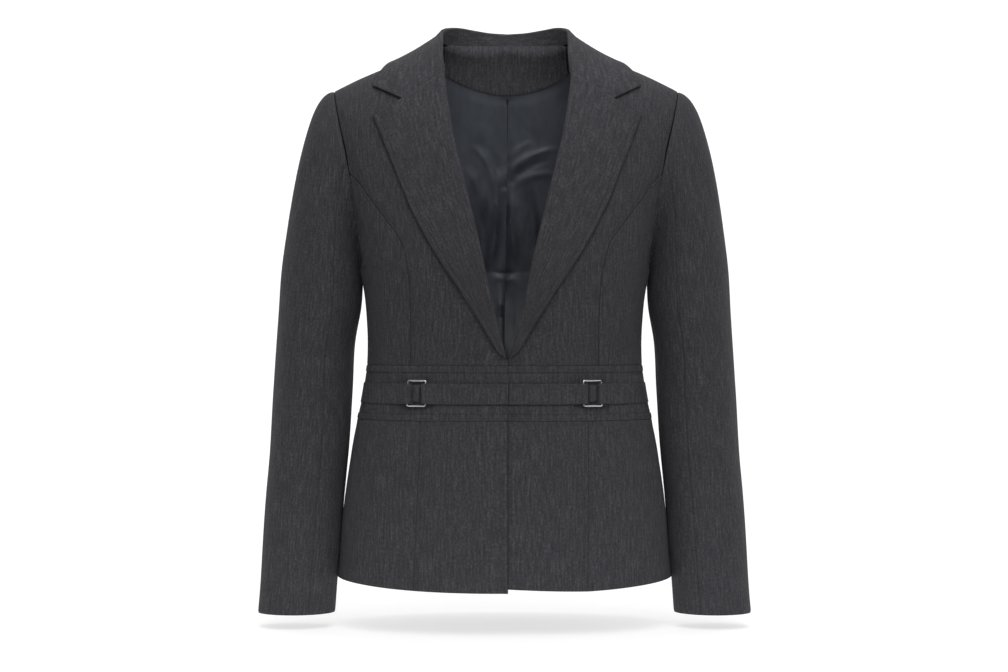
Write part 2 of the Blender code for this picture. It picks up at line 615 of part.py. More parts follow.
def make_lapels(cloth):
    """Front facings turned out as lapels: round the roll, then flat on the chest."""
    for side in ("left", "right"):
        sign = 1.0 if side == "left" else -1.0
        roll, edge = lapel_line(np.linspace(0, 1, 13), sign)
        length = np.linalg.norm(edge - roll, axis=-1)[:, None]
        start = np.minimum(ROLL_RADIUS / length, 0.5)
        share = start + (1 - start) * np.linspace(0, 1, 7)[None, :]
        flat = roll[:, None, :] + (edge - roll)[:, None, :] * share[..., None]
        points, normals = seen(flat[..., 0], flat[..., 1])
        low, more = LAPEL_RISE
        lift = low + more * (1 - share) ** 2
        lift = lift + (over_rise(-flat[..., 0], flat[..., 1]) if side == "right" else 0.0)
        outer = points + normals * lift[..., None]
        first, first_normal = outer[:, 0], normals[:, 0]
        at_roll, _ = seen(roll[:, 0], roll[:, 1])
        outward = unit(points[:, 0] - at_roll)
        centre = first - first_normal * ROLL_RADIUS
        arcs = np.radians(ROLL_ARCS)
        round_points = [centre + ROLL_RADIUS * (outward * np.cos(a) + first_normal * np.sin(a)) for a in arcs]
        round_normals = [outward * np.cos(a) + first_normal * np.sin(a) for a in arcs]
        outer = np.concatenate([np.stack(round_points, axis=1), outer], axis=1)
        normals = np.concatenate([np.stack(round_normals, axis=1), normals], axis=1)
        inner = outer - normals * COLLAR_CLOTH
        wall(f"lapel_{side}", mirrored(outer, side), mirrored(inner, side), cloth)


def top_z(x, y):
    """Height of the form over a place seen from above, worked out in a few rounds."""
    x = np.abs(x)
    z = shoulder_z(x)
    for power, left, column, part in ((*CLOSE_FRONT, 2, y < 0), (*CLOSE_BACK, 3, y >= 0)):
        depth = TORSO[0][column]
        rise = np.full_like(x, 0.9)
        for _ in range(8):
            width = TORSO[0][1] + SHOULDER_SPREAD * rise**1.3
            here = depth * np.maximum(1 - (x / width) ** ROUND, 1e-6) ** (1 / ROUND)
            rise = np.maximum(1 - np.minimum(np.abs(y) / here, 0.999) ** (1 / left), 1e-6) ** (1 / power)
        z = np.where(part, CHEST_Z + (shoulder_z(x) - CHEST_Z) * rise, z)
    return z


def on_top(x, y):
    """Points of the form over places seen from above, and their outward normals."""
    step = 5e-4
    slope_x = (top_z(x + step, y) - top_z(x - step, y)) / (2 * step)
    slope_y = (top_z(x, y + step) - top_z(x, y - step)) / (2 * step)
    points = np.stack([x, y, top_z(x, y)], axis=-1)
    return points, unit(np.stack([-slope_x, -slope_y, np.ones_like(x)], axis=-1))


def make_collar(cloth):
    """Stand, fold and fall in one wall, round the neck from gorge to gorge."""
    table = np.array(COLLAR)
    half = np.linspace(0, 1, 13)
    knots = np.linspace(0, 1, len(table))
    columns = [smooth(list(zip(knots, table[:, k])), 1, half) for k in range(table.shape[1])]
    neck_x, neck_y, fold_x, fold_y, fold_z, edge_x, edge_y = columns
    base, _ = on_top(neck_x, neck_y)
    fold = np.stack([fold_x, fold_y, fold_z], axis=-1)
    share = np.linspace(0, 1, 8)[None, 1:]
    plan_x = neck_x[:, None] + (edge_x - neck_x)[:, None] * share
    plan_y = neck_y[:, None] + (edge_y - neck_y)[:, None] * share
    (start_x, start_z), (end_x, end_z) = (smooth(ROLL, 1, GORGE_Z), GORGE_Z), LAPEL_EDGE[-1][::-1]
    notch_z = start_z + (end_z - start_z) * (NOTCH_X - start_x) / (end_x - start_x)
    front_x = np.interp(share[0], [0, NOTCH_SHARE, 1], [start_x, NOTCH_X, COLLAR_TIP[0]])
    front_z = np.interp(share[0], [0, NOTCH_SHARE, 1], [start_z, notch_z, COLLAR_TIP[1]]) + GORGE_GAP
    bend = np.clip((half - COLLAR_BEND) / (1 - COLLAR_BEND), 0, 1)[:, None] ** 2
    plan_x = plan_x + (front_x - plan_x[-1]) * bend
    plan_y = plan_y + (-depth_at(front_x, front_z) - plan_y[-1]) * bend
    ground, normals = on_top(plan_x, plan_y)
    settle = (1 - share[..., None]) ** 2
    fall = ground + (fold - base)[:, None, :] * settle + normals * COLLAR_RISE * (1 - settle)
    # the fold: a half turn of the cloth round the neck's level direction
    outward = unit(fall[:, 0] - fold)
    level_out = unit(outward * [1.0, 1.0, 0.0])
    up = np.array([0.0, 0.0, 1.0])
    rows, faces = [], []
    foot = base + up * STAND_FOOT_GAP - level_out * COLLAR_CLOTH
    for part in (0.0, 0.5):
        rows.append(foot + (fold - up * COLLAR_FOLD - foot) * part)
        faces.append(-level_out)
    for angle in np.radians([180.0, 130.0, 85.0]):
        centre = fold - up * COLLAR_FOLD + level_out * COLLAR_FOLD
        rows.append(centre + COLLAR_FOLD * (level_out * np.cos(angle) + up * np.sin(angle)))
        faces.append(level_out * np.cos(angle) + up * np.sin(angle))
    outer = np.concatenate([np.stack(rows, axis=1), fall], axis=1)
    down, along = np.gradient(fall, axis=1), np.gradient(fall, axis=0)
    fall_normals = unit(np.cross(down, along))
    fall_normals = fall_normals * np.where(np.sum(fall_normals * normals, axis=-1) < 0, -1.0, 1.0)[..., None]
    faces = np.concatenate([np.stack(faces, axis=1), fall_normals], axis=1)
    inner = outer - faces * COLLAR_CLOTH
    flip = np.array([-1.0, 1.0, 1.0])
    outer = np.concatenate([(outer * flip)[:0:-1], outer])
    inner = np.concatenate([(inner * flip)[:0:-1], inner])
    wall("collar", outer, inner, cloth)


def facing_foot(x):
    """Height of the back neck facing's lower edge."""
    low, rise, at = FACING_FOOT
    return low + rise * (np.abs(x) / at) ** 2


def make_back_facing(cloth):
    """The cloth facing inside the back neck."""
    x = np.linspace(-FACING_HALF, FACING_HALF, 13)[None, :]
    neck_y = NECK[1] * np.sqrt(1 - (x / NECK[0]) ** 2)
    top = top_z(x, neck_y) - FACING_UNDER
    share = np.linspace(0, 1, 4)[:, None]
    z = facing_foot(x) + (top - facing_foot(x)) * share
    inside_panel("back_neck_facing", x + 0 * z, z, cloth, CLOTH + INSIDE_GAP)


def make_back_lining(satin):
    """The satin lining of the back, from the facing and the armholes down, with a middle seam."""
    heights = np.linspace(0, 1, 14)[:, None]
    across = np.sin(np.linspace(0, np.pi / 2, 7))[None, :] ** (2 / ROUND)
    x = 0.9 * TORSO[0][1] * across + 0 * heights
    for _ in range(6):
        top = np.minimum(facing_foot(x) - LINING_TOP[0], shoulder_z(x) - LINING_TOP[1])
        z = LINING_FOOT + (top - LINING_FOOT) * heights
        rise = np.clip((z - CHEST_Z) / (shoulder_z(x) - CHEST_Z), 0, 1)
        level = 2 / np.pi * np.arcsin(rise)
        above, below = smooth(ARMHOLE, 1, level) - LINING_SIDE[0], smooth(TORSO, 1, z) - LINING_SIDE[1]
        reach = np.where(z > CHEST_Z, above, below)
        x = LINING_MIDDLE + (reach - LINING_MIDDLE) * across
    for side in ("left", "right"):
        sign = 1.0 if side == "left" else -1.0
        slack = CLOTH + INSIDE_GAP + LINING_SLACK * ease(-0.10, -0.25, z)
        inside_panel(f"lining_back_{side}", sign * x, z, satin, slack)


# ---------------------------------------------------------------- belt and buckles
def make_belts(cloth):
    """The belt's four strips: each one turns back round a buckle's upright wire."""
    z = np.array([BELT_FOOT, (BELT_FOOT + BELT_TOP) / 2, BELT_TOP])[:, None]
    loop = np.array(BELT_LOOP)
    count = 7
    rise = np.concatenate([loop[:, 1], np.full(count, BELT_REST)])
    face = np.radians(np.concatenate([loop[:, 2], np.full(count, 90.0)]))
    for side in ("left", "right"):
        edge = CLOSING_X + 2 * SEAM_GAP if side == "left" else -CLOSING_X
        for name, way in (("centre", -1.0), ("side", 1.0)):
            slot = BUCKLE_X + way * SLOT_HALF
            near = slot + way * loop[:, 0] + 0 * z
            start = slot + way * LOOP_END
            if name == "centre":
                far = np.linspace(start, edge, count) + 0 * z
            else:
                level = below_chest(z)
                first = turn_of(start, level)
                turns = first + (SIDE_TURN - first) * np.linspace(0, 1, count)
                far = half_width(level) * np.sin(turns) ** (2 / ROUND)
            x = np.concatenate([near, far], axis=1)
            points, normals = place(x, z + 0 * x)
            run = unit(np.cross(normals, [0.0, 0.0, 1.0]))
            run = run * way * np.where(run[..., :1] < 0, -1.0, 1.0)
            lift = rise + (over_rise(-x, z + 0 * x) if side == "right" else 0.0)
            outer = points + normals * lift[..., None]
            facing = normals * np.sin(face)[:, None] + run * np.cos(face)[:, None]
            inner = outer - facing * CLOTH
            wall(f"belt_{name}_{side}", mirrored(outer, side), mirrored(inner, side), cloth)


def make_buckles(metal):
    """Two wire frames, each a rounded rectangle of round wire lying on the band."""
    half_w, half_h = BUCKLE_HALF
    corner = BUCKLE_CORNER
    path = []
    for cx, cz, start in ((1, 1, 0), (-1, 1, 90), (-1, -1, 180), (1, -1, 270)):
        for angle in np.radians(start + np.linspace(0, 90, 4)):
            path.append((cx * (half_w - corner) + corner * math.cos(angle),
                         cz * (half_h - corner) + corner * math.sin(angle)))
    path = np.array(path)
    forward = unit(np.roll(path, -1, axis=0) - np.roll(path, 1, axis=0))
    sideways = np.stack([forward[:, 1], -forward[:, 0]], axis=-1)
    for side in ("left", "right"):
        point, normal = seen(np.array([BUCKLE_X]), np.array([BUCKLE_Z]))
        point, normal = point[0], normal[0]
        along = unit(np.cross(normal, [0.0, 0.0, 1.0]))
        along = along * np.sign(along[0])
        up = unit(np.cross(along, normal))
        up = up * np.sign(up[2])
        rings = []
        for angle in np.linspace(0, 2 * np.pi, 8, endpoint=False):
            flat = path + sideways * BUCKLE_WIRE * math.cos(angle)
            rings.append(point + normal * (BUCKLE_RISE + BUCKLE_WIRE * math.sin(angle))
                         + flat[:, :1] * along + flat[:, 1:] * up)
        tube(f"buckle_{side}", mirrored(np.stack(rings), side), metal)


def main():
    """Clear the scene and make every piece."""
    for old in list(bpy.data.objects):
        bpy.data.objects.remove(old, do_unlink=True)
    cloth = material("charcoal_suiting", CHARCOAL, 0.85)
    satin = material("navy_satin", SATIN, 0.35)
    metal = material("polished_steel", STEEL, 0.25, 1.0)
    make_bodice_fronts(cloth)
    make_bodice_backs(cloth)
    make_waistband(cloth)
    make_skirt(cloth)
    make_sleeves(cloth)
    make_lapels(cloth)
    make_collar(cloth)
    make_back_facing(cloth)
    make_back_lining(satin)
    make_belts(cloth)
    make_buckles(metal)


main()
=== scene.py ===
"""Looks of the fitted blazer: every cut piece as a fine shell of cloth, its stitching, lining, belt and buckles.

Metres, +Z up, +X towards the wearer's left, the front faces -Y. The shells lie on the same form as the solids:
a turn (0 at the middle of front or back, 90 degrees at the side) and a level (metres under the chest, or 0 at the
chest to 1 at the shoulder seam).
"""

import logging
import math
from dataclasses import dataclass
from enum import Enum

import bpy
import numpy as np
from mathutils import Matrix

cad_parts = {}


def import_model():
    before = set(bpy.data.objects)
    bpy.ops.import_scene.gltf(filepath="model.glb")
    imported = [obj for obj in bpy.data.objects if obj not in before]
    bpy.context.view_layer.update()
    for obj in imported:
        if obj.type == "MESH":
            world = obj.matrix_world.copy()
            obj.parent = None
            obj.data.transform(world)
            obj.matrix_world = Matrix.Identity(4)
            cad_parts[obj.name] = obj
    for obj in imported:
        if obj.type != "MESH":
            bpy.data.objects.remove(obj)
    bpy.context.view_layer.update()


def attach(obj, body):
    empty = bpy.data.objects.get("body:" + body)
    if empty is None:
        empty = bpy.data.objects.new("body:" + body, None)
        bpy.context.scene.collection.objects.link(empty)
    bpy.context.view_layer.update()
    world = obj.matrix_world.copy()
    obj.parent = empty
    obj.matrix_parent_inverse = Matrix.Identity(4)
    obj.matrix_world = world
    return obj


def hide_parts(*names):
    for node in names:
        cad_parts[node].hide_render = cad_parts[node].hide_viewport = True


Array = np.ndarray
Table = tuple[tuple[float, ...], ...]
Pair = tuple[float, float]
Triple = tuple[float, float, float]
Colour = Triple
Material = bpy.types.Material
Socket = bpy.types.NodeSocket
LOG = logging.getLogger("blazer")
CLOTH = 0.0014             # thickness of the suiting
LAP = 0.00005              # each sewn edge reaches this far past its seam line
EDGE_DIP = 0.0004          # how far cloth dips at a turned edge


# ---------------------------------------------------------------- small tools
def smooth(table: Table, column: int, at: Array) -> Array:
    """Read one column of a table along a cubic with even slopes at its rows.

    Args:
        table: rows whose first column is the place.
        column: the column to read.
        at: places, held inside the table's range.

    Returns:
        The column's value at each place.
    """
    rows = sorted(table)
    knots = np.array([row[0] for row in rows])
    values = np.array([row[column] for row in rows])
    at = np.clip(np.asarray(at, float), knots[0], knots[-1])
    slopes = np.gradient(values, knots)
    i = np.clip(np.searchsorted(knots, at) - 1, 0, len(knots) - 2)
    span = knots[i + 1] - knots[i]
    t = (at - knots[i]) / span
    return ((2 * t**3 - 3 * t**2 + 1) * values[i] + (t**3 - 2 * t**2 + t) * span * slopes[i]
            + (3 * t**2 - 2 * t**3) * values[i + 1] + (t**3 - t**2) * span * slopes[i + 1])


def ease(low: float, high: float, at: Array) -> Array:
    """Step softly from 0 at low to 1 at high, as 3t²-2t³."""
    t = np.clip((np.asarray(at, float) - low) / (high - low), 0.0, 1.0)
    return t * t * (3 - 2 * t)


def unit(v: Array) -> Array:
    """Bring vectors to length one."""
    return v / np.maximum(np.linalg.norm(v, axis=-1, keepdims=True), 1e-12)


def run_along(path: Array) -> Array:
    """Metres along a path of points, from its first one: the running sum of its chords."""
    return np.concatenate([[0.0], np.cumsum(np.linalg.norm(np.diff(path, axis=0), axis=-1))])


def grid_quads(index: Array) -> Array:
    """Quads between the neighbours of a grid of point numbers."""
    return np.stack([index[:-1, :-1], index[:-1, 1:], index[1:, 1:], index[1:, :-1]], axis=-1).reshape(-1, 4)


def inside_out(points: Array, faces: Array) -> bool:
    """Whether a closed mesh faces inwards: whether the triple products of its quads' corners sum below zero."""
    a, b, c, d = (points[faces[:, k]] for k in range(4))
    return bool(((a * np.cross(b, c)).sum() + (a * np.cross(c, d)).sum()) < 0)


class Side(Enum):
    """The wearer's two sides, with the sign of their x."""

    LEFT = 1
    RIGHT = -1

    @property
    def word(self) -> str:
        """The ending of this side's node names."""
        return self.name.lower()

    def turn_over(self, v: Array) -> Array:
        """Put points or vectors made for the left on this side."""
        return v * np.array([float(self.value), 1.0, 1.0])


class Slot(Enum):
    """The record's material slots."""

    SUITING = "suiting"
    SATIN = "satin_lining"
    METAL = "buckle_metal"


# ---------------------------------------------------------------- creases
@dataclass(frozen=True)
class Crease:
    """A soft ridge or trough along a bowed line on a flat map of the cloth, in metres."""

    start: Pair
    end: Pair
    width: float
    height: float
    bow: float = 0.0

    def lift(self, across: Array, up: Array) -> Array:
        """Rise of the cloth: height times a bell over the distance from the bowed line, faded at both ends.

        Args:
            across: first map coordinate of each point.
            up: second map coordinate of each point.

        Returns:
            Metres to move each point outwards.
        """
        run = np.array(self.end) - np.array(self.start)
        length = float(np.linalg.norm(run))
        run = run / length
        dx, dy = across - self.start[0], up - self.start[1]
        t = (dx * run[0] + dy * run[1]) / length
        off = -dx * run[1] + dy * run[0] - self.bow * 4 * t * (1 - t)
        wide = self.width * (0.75 + 0.5 * np.clip(t, 0, 1) + 0.12 * np.sin(9 * t + 40 * self.start[1]))
        fade = ease(-0.12, 0.30, t) * (1 - ease(0.70, 1.12, t))
        return self.height * np.exp(-((off / wide) ** 2)) * fade


@dataclass(frozen=True)
class Relief:
    """Every crease of one stretch of cloth, over a slow unevenness."""

    creases: tuple[Crease, ...]
    waviness: float = 0.00025

    def lift(self, across: Array, up: Array) -> Array:
        """Sum of the creases and of three slow crossing sine waves.

        Args:
            across: first map coordinate of each point.
            up: second map coordinate of each point.

        Returns:
            Metres to move each point outwards.
        """
        slow = (np.sin(61 * across + 23 * up + 0.7) + np.sin(-34 * across + 47 * up + 2.1)
                + 0.7 * np.sin(88 * across - 12 * up + 4.0))
        total = self.waviness * slow
        for crease in self.creases:
            total = total + crease.lift(across, up)
        return total


# ---------------------------------------------------------------- the body's form
@dataclass(frozen=True)
class BodyForm:
    """The smooth form that every body panel lies on, from the same sizes as the solids."""

    seam_half: float = 0.00015
    chest_z: float = -0.263
    waist_z: float = -0.372
    hem_z: float = -0.618
    shoulder_rise: float = 0.036
    shoulder_slope: float = 0.49
    peak_round: float = 0.008
    round_power: float = 2.3
    shoulder_spread: float = 0.060
    lean_by: float = 0.0035
    lean_from: float = -0.37
    lean_to: float = -0.07
    square: Pair = (0.120, 0.175)       # distances over which the right shoulder stops leaning
    drawn: float = 0.0050            # how far the left collar is drawn in
    raised: float = 0.0016           # how far the shoulders stand up
    closing: float = 0.0038
    over: float = 0.0019
    over_across: Pair = (-0.052, -0.028)    # where the right front rises over the left
    over_up: Pair = (-0.362, -0.325)
    over_edge: Pair = (0.0012, 0.0045)      # rise of its rolled edge, and how wide that is
    side_shift: float = 0.012        # the right side's creases lie this far off the left side's
    top_level: float = 1.0 - 2e-4
    side_turn: float = math.pi / 2 - 0.0012
    girth_radius: float = 0.150      # turns times this are the map's metres round the body
    torso: Table = (                 # level z, half-width, depth in front, depth behind
        (-0.263, 0.1650, 0.1300, 0.1050), (-0.293, 0.1602, 0.1270, 0.1010), (-0.321, 0.1580, 0.1210, 0.0950),
        (-0.348, 0.1570, 0.1140, 0.0880), (-0.372, 0.1578, 0.1080, 0.0830), (-0.392, 0.1605, 0.1065, 0.0820),
        (-0.415, 0.1645, 0.1075, 0.0835), (-0.433, 0.1688, 0.1100, 0.0870), (-0.459, 0.1742, 0.1130, 0.0920),
        (-0.486, 0.1781, 0.1155, 0.0975), (-0.532, 0.1838, 0.1190, 0.1055), (-0.575, 0.1880, 0.1220, 0.1110),
        (-0.618, 0.1922, 0.1250, 0.1150),
    )
    close_front: Pair = (1.7, 0.58)
    close_back: Pair = (2.2, 0.50)
    armhole: Table = (               # level, distance from the middle
        (0.00, 0.1650), (0.03, 0.1605), (0.09, 0.1643), (0.18, 0.1690), (0.29, 0.1735),
        (0.41, 0.1790), (0.57, 0.1870), (0.75, 0.1930), (1.00, 0.1960),
    )
    roll: Table = (                  # height, distance from the closing line
        (-0.3660, 0.0010), (-0.3020, 0.0170), (-0.2400, 0.0302), (-0.1790, 0.0448), (-0.1090, 0.0612),
        (-0.0500, 0.0700), (-0.0310, 0.0722), (0.0120, 0.0736),
    )
    lapel_edge: Table = (            # height, distance from the closing line
        (-0.3633, 0.0077), (-0.3280, 0.0280), (-0.2917, 0.0506), (-0.2554, 0.0748), (-0.1951, 0.1074),
        (-0.1566, 0.1234), (-0.1184, 0.1390), (-0.0933, 0.1488),
    )
    princess: Table = (              # height, distance from the middle
        (-0.3720, 0.1044), (-0.3000, 0.1052), (-0.2600, 0.1090), (-0.2319, 0.1176), (-0.2106, 0.1334),
        (-0.1854, 0.1520), (-0.1610, 0.1700), (-0.1400, 0.1950), (-0.1000, 0.2400),
    )
    neck: Pair = (0.0775, 0.0520)
    relief: Relief = Relief((        # metres round the body (past the side seam on the back), height
        Crease((0.205, -0.262), (0.130, -0.205), 0.0055, 0.0008, 0.004),
        Crease((0.200, -0.275), (0.128, -0.245), 0.0060, -0.0007, 0.005),
        Crease((0.190, -0.330), (0.140, -0.352), 0.0050, 0.0007),
        Crease((0.215, -0.345), (0.160, -0.338), 0.0045, -0.0006, -0.003),
        Crease((0.100, -0.368), (0.150, -0.345), 0.0050, 0.0006, 0.002),
        Crease((0.040, -0.360), (0.085, -0.350), 0.0060, -0.0004, 0.003),
        Crease((0.165, -0.105), (0.150, -0.200), 0.0090, -0.0010, 0.004),
        Crease((0.185, -0.440), (0.200, -0.590), 0.0140, 0.0012, 0.003),
        Crease((0.110, -0.455), (0.120, -0.612), 0.0130, -0.0007, 0.002),
        Crease((0.050, -0.470), (0.046, -0.612), 0.0120, 0.0005),
        Crease((0.270, -0.440), (0.262, -0.600), 0.0150, 0.0011, -0.003),
        Crease((0.330, -0.450), (0.345, -0.610), 0.0160, -0.0011, 0.003),
        Crease((0.395, -0.445), (0.388, -0.605), 0.0150, 0.0012, 0.002),
        Crease((0.440, -0.450), (0.438, -0.600), 0.0120, -0.0008),
        Crease((0.290, -0.250), (0.370, -0.200), 0.0070, 0.0010, 0.006),
        Crease((0.285, -0.270), (0.390, -0.245), 0.0080, -0.0009, 0.006),
        Crease((0.290, -0.340), (0.360, -0.350), 0.0055, 0.0009, -0.003),
        Crease((0.340, -0.365), (0.430, -0.352), 0.0050, -0.0007, 0.003),
        Crease((0.380, -0.335), (0.455, -0.345), 0.0055, 0.0007, 0.003),
        Crease((0.330, -0.120), (0.350, -0.210), 0.0110, -0.0010, -0.005),
    ))

    def shoulder_z(self, x: Array) -> Array:
        """Height of the shoulder line: a rise less a slope times the distance, rounded at the middle."""
        return self.shoulder_rise - self.shoulder_slope * np.sqrt(np.asarray(x) ** 2 + self.peak_round**2)

    def lean(self, z: Array) -> Array:
        """How far the coat stands to the wearer's left at a height, softly growing upwards."""
        return self.lean_by * ease(self.lean_from, self.lean_to, z)

    def settle(self, points: Array) -> Array:
        """Let the coat hang unevenly: leaning left, but the right shoulder square and the collar drawn in.

        Args:
            points: points of the even coat.

        Returns:
            The points moved sideways by the lean, and the shoulders raised a little.
        """
        x, z = points[..., 0], points[..., 2]
        square = 1 - ease(*self.square, -x)
        drawn = self.drawn * ease(0.045, 0.072, x) * (1 - ease(0.130, 0.170, x)) * ease(-0.050, -0.015, z)
        raised = self.raised * ease(-0.160, -0.060, z)
        raised = raised * ease(0.100, 0.150, np.abs(x)) * (1 - ease(0.190, 0.208, x))
        moved = points.copy()
        moved[..., 0] += self.lean(z) * square - drawn
        moved[..., 2] += raised
        return moved

    def closing_x(self, z: Array) -> Array:
        """The closing line's distance from the leaning middle."""
        return self.closing - self.lean(z)

    def half_width(self, level: Array) -> Array:
        """Half-width: from the table under the chest, growing as the sine of the level above it.

        Args:
            level: metres under the chest, or 0 to 1 above it.

        Returns:
            Metres from the middle to the side seam or armhole.
        """
        level = np.asarray(level, float)
        rise = np.sin(np.pi / 2 * np.clip(level, 0, 1))
        return smooth(self.torso, 1, self.chest_z + np.minimum(level, 0)) + self.shoulder_spread * rise**1.3

    def point(self, turn: Array, level: Array, back: bool = False) -> Array:
        """Points of the form: a superellipse in each level, closing to the shoulder line above the chest.

        Args:
            turn: angle from the middle; negative turns cross it.
            level: metres under the chest, or 0 to 1 above it.
            back: whether the point is behind.

        Returns:
            Points, with x as the distance from the middle.
        """
        turn, level = np.broadcast_arrays(np.asarray(turn, float), np.asarray(level, float))
        rise = np.sin(np.pi / 2 * np.clip(level, 0, 1))
        power, left = self.close_back if back else self.close_front
        depth = smooth(self.torso, 3 if back else 2, self.chest_z + np.minimum(level, 0))
        x = self.half_width(level) * np.sign(turn) * np.abs(np.sin(turn)) ** (2 / self.round_power)
        y = depth * np.maximum(np.cos(turn), 0) ** (2 / self.round_power) * np.maximum(1 - rise**power, 0) ** left
        y = np.maximum(y, self.seam_half)
        z = self.chest_z + np.minimum(level, 0) + (self.shoulder_z(x) - self.chest_z) * rise
        return np.stack([x, y if back else -y, z], axis=-1)

    def turn_of(self, x: Array, level: Array) -> Array:
        """The turn at which the form is a distance x from the middle."""
        share = np.clip(np.abs(x) / self.half_width(level), 0, 1)
        return np.sign(x) * np.arcsin(share ** (self.round_power / 2))

    def outward(self, turn: Array, level: Array, back: bool = False) -> Array:
        """Outward unit vectors: the cross product of the form's two small steps.

        Args:
            turn: angle from the middle.
            level: as for point.
            back: whether the point is behind.

        Returns:
            Unit vectors; at the shoulder seam they have no part forwards or backwards.
        """
        turn, level = np.broadcast_arrays(np.clip(turn, 0.02, np.pi / 2 - 0.02), np.asarray(level, float))
        at_seam = (level > 0.999)[..., None]
        level = np.minimum(level, 0.995)
        step = 1e-3
        across = self.point(turn + step, level, back) - self.point(turn - step, level, back)
        up = self.point(turn, level + step, back) - self.point(turn, level - step, back)
        n = np.cross(up, across) if back else np.cross(across, up)
        return unit(np.where(at_seam, n * [1.0, 0.0, 1.0], n))

    def level_of(self, x: Array, z: Array) -> Array:
        """The level of a place seen from the front or the back."""
        rise = np.clip((z - self.chest_z) / (self.shoulder_z(x) - self.chest_z), 0, 1)
        return np.where(z < self.chest_z, z - self.chest_z, 2 / np.pi * np.arcsin(rise))

    def depth_at(self, x: Array, z: Array, back: bool = False) -> Array:
        """Depth of the form at a place seen from the front or the back, in closed form.

        Args:
            x: distance from the middle.
            z: height.
            back: whether it is seen from behind.

        Returns:
            Metres in front of the side seam, or behind it.
        """
        x, z = np.broadcast_arrays(np.abs(np.asarray(x, float)), np.asarray(z, float))
        rise = np.clip((z - self.chest_z) / (self.shoulder_z(x) - self.chest_z), 0, 1)
        power, left = self.close_back if back else self.close_front
        low = np.minimum(z, self.chest_z)
        width = smooth(self.torso, 1, low) + self.shoulder_spread * rise**1.3
        across = np.maximum(1 - (x / width) ** self.round_power, 0) ** (1 / self.round_power)
        return smooth(self.torso, 3 if back else 2, low) * across * np.maximum(1 - rise**power, 0) ** left

    def seen(self, x: Array, z: Array, back: bool = False) -> tuple[Array, Array]:
        """Points and outward unit vectors at places seen from the front or the back.

        Args:
            x: signed distances from the middle.
            z: heights.
            back: whether they are seen from behind.

        Returns:
            Points of the form, and unit vectors from the slopes of its depth.
        """
        x, z = np.broadcast_arrays(np.asarray(x, float), np.asarray(z, float))
        sign, step = (1.0 if back else -1.0), 5e-4
        slope_x = (self.depth_at(x + step, z, back) - self.depth_at(x - step, z, back)) / (2 * step)
        slope_z = (self.depth_at(x, z + step, back) - self.depth_at(x, z - step, back)) / (2 * step)
        points = np.stack([x, sign * self.depth_at(x, z, back), z], axis=-1)
        return points, unit(np.stack([-slope_x, np.full_like(x, sign), -slope_z], axis=-1))

    def place(self, x: Array, z: Array) -> tuple[Array, Array]:
        """Points and outward unit vectors in front, below the chest, right up to the side seam.

        Args:
            x: signed distances from the middle.
            z: heights.

        Returns:
            Points of the form and unit vectors.
        """
        turn, level = self.turn_of(x, z - self.chest_z), z - self.chest_z
        flip = np.stack([np.where(x < 0, -1.0, 1.0), np.ones_like(x), np.ones_like(x)], axis=-1)
        return self.point(turn, level), self.outward(np.abs(turn), level) * flip

    def top_z(self, x: Array, y: Array) -> Array:
        """Height over a place seen from above, found in a few rounds of putting the depth right.

        Args:
            x: distance from the middle.
            y: place from front to back.

        Returns:
            Height of the form there.
        """
        x, y = np.broadcast_arrays(np.abs(x), y)
        z = self.shoulder_z(x)
        for (power, left), column, part in ((self.close_front, 2, y < 0), (self.close_back, 3, y >= 0)):
            rise = np.full_like(x, 0.9)
            for _ in range(8):
                width = self.torso[0][1] + self.shoulder_spread * rise**1.3
                ring = np.maximum(1 - (x / width) ** self.round_power, 1e-6) ** (1 / self.round_power)
                share = np.minimum(np.abs(y) / (self.torso[0][column] * ring), 0.999)
                rise = np.maximum(1 - share ** (1 / left), 1e-6) ** (1 / power)
            z = np.where(part, self.chest_z + (self.shoulder_z(x) - self.chest_z) * rise, z)
        return z

    def on_top(self, x: Array, y: Array) -> tuple[Array, Array]:
        """Points and outward unit vectors over places seen from above.

        Args:
            x: distance from the middle.
            y: place from front to back.

        Returns:
            Points of the form, and unit vectors from the slopes of its height.
        """
        step = 5e-4
        slope_x = (self.top_z(x + step, y) - self.top_z(x - step, y)) / (2 * step)
        slope_y = (self.top_z(x, y + step) - self.top_z(x, y - step)) / (2 * step)
        points = np.stack([x, y, self.top_z(x, y)], axis=-1)
        return points, unit(np.stack([-slope_x, -slope_y, np.ones_like(x)], axis=-1))

    def crossing(self, level: Array, line: Table) -> Array:
        """The turn, on each level, where the form's front meets a line given as distance by height.

        Args:
            level: one level for each row.
            line: table of height and distance.

        Returns:
            One turn for each level, between the two sampled turns where the form passes the line.
        """
        turns = np.linspace(-0.15, np.pi / 2, 900)[None, :]
        p = self.point(turns, np.asarray(level)[:, None])
        gap = p[..., 0] - smooth(line, 1, p[..., 2])
        k = np.clip(np.argmax(gap > 0, axis=1), 1, turns.shape[1] - 1)
        k = np.where((gap > 0).any(axis=1), k, turns.shape[1] - 1)
        rows = np.arange(len(k))
        before, after = gap[rows, k - 1], gap[rows, k]
        share = np.clip(before / np.where(before == after, 1.0, before - after), 0, 1)
        return turns[0, k - 1] + (turns[0, k] - turns[0, k - 1]) * share

    def armhole_turn(self, level: Array) -> Array:
        """Turn of the armhole seam; the side seam below the chest."""
        above = self.turn_of(smooth(self.armhole, 1, np.maximum(level, 0)), level)
        return np.where(level <= 0, np.pi / 2, above)

    def over_rise(self, x: Array, z: Array) -> Array:
        """How far the wearer's right front stands out over the left one (signed x), most at its rolled edge."""
        edge = self.over_edge[0] * np.exp(-(((x - self.closing) / self.over_edge[1]) ** 2))
        return (self.over * ease(*self.over_across, x) + edge) * (1 - ease(*self.over_up, z))

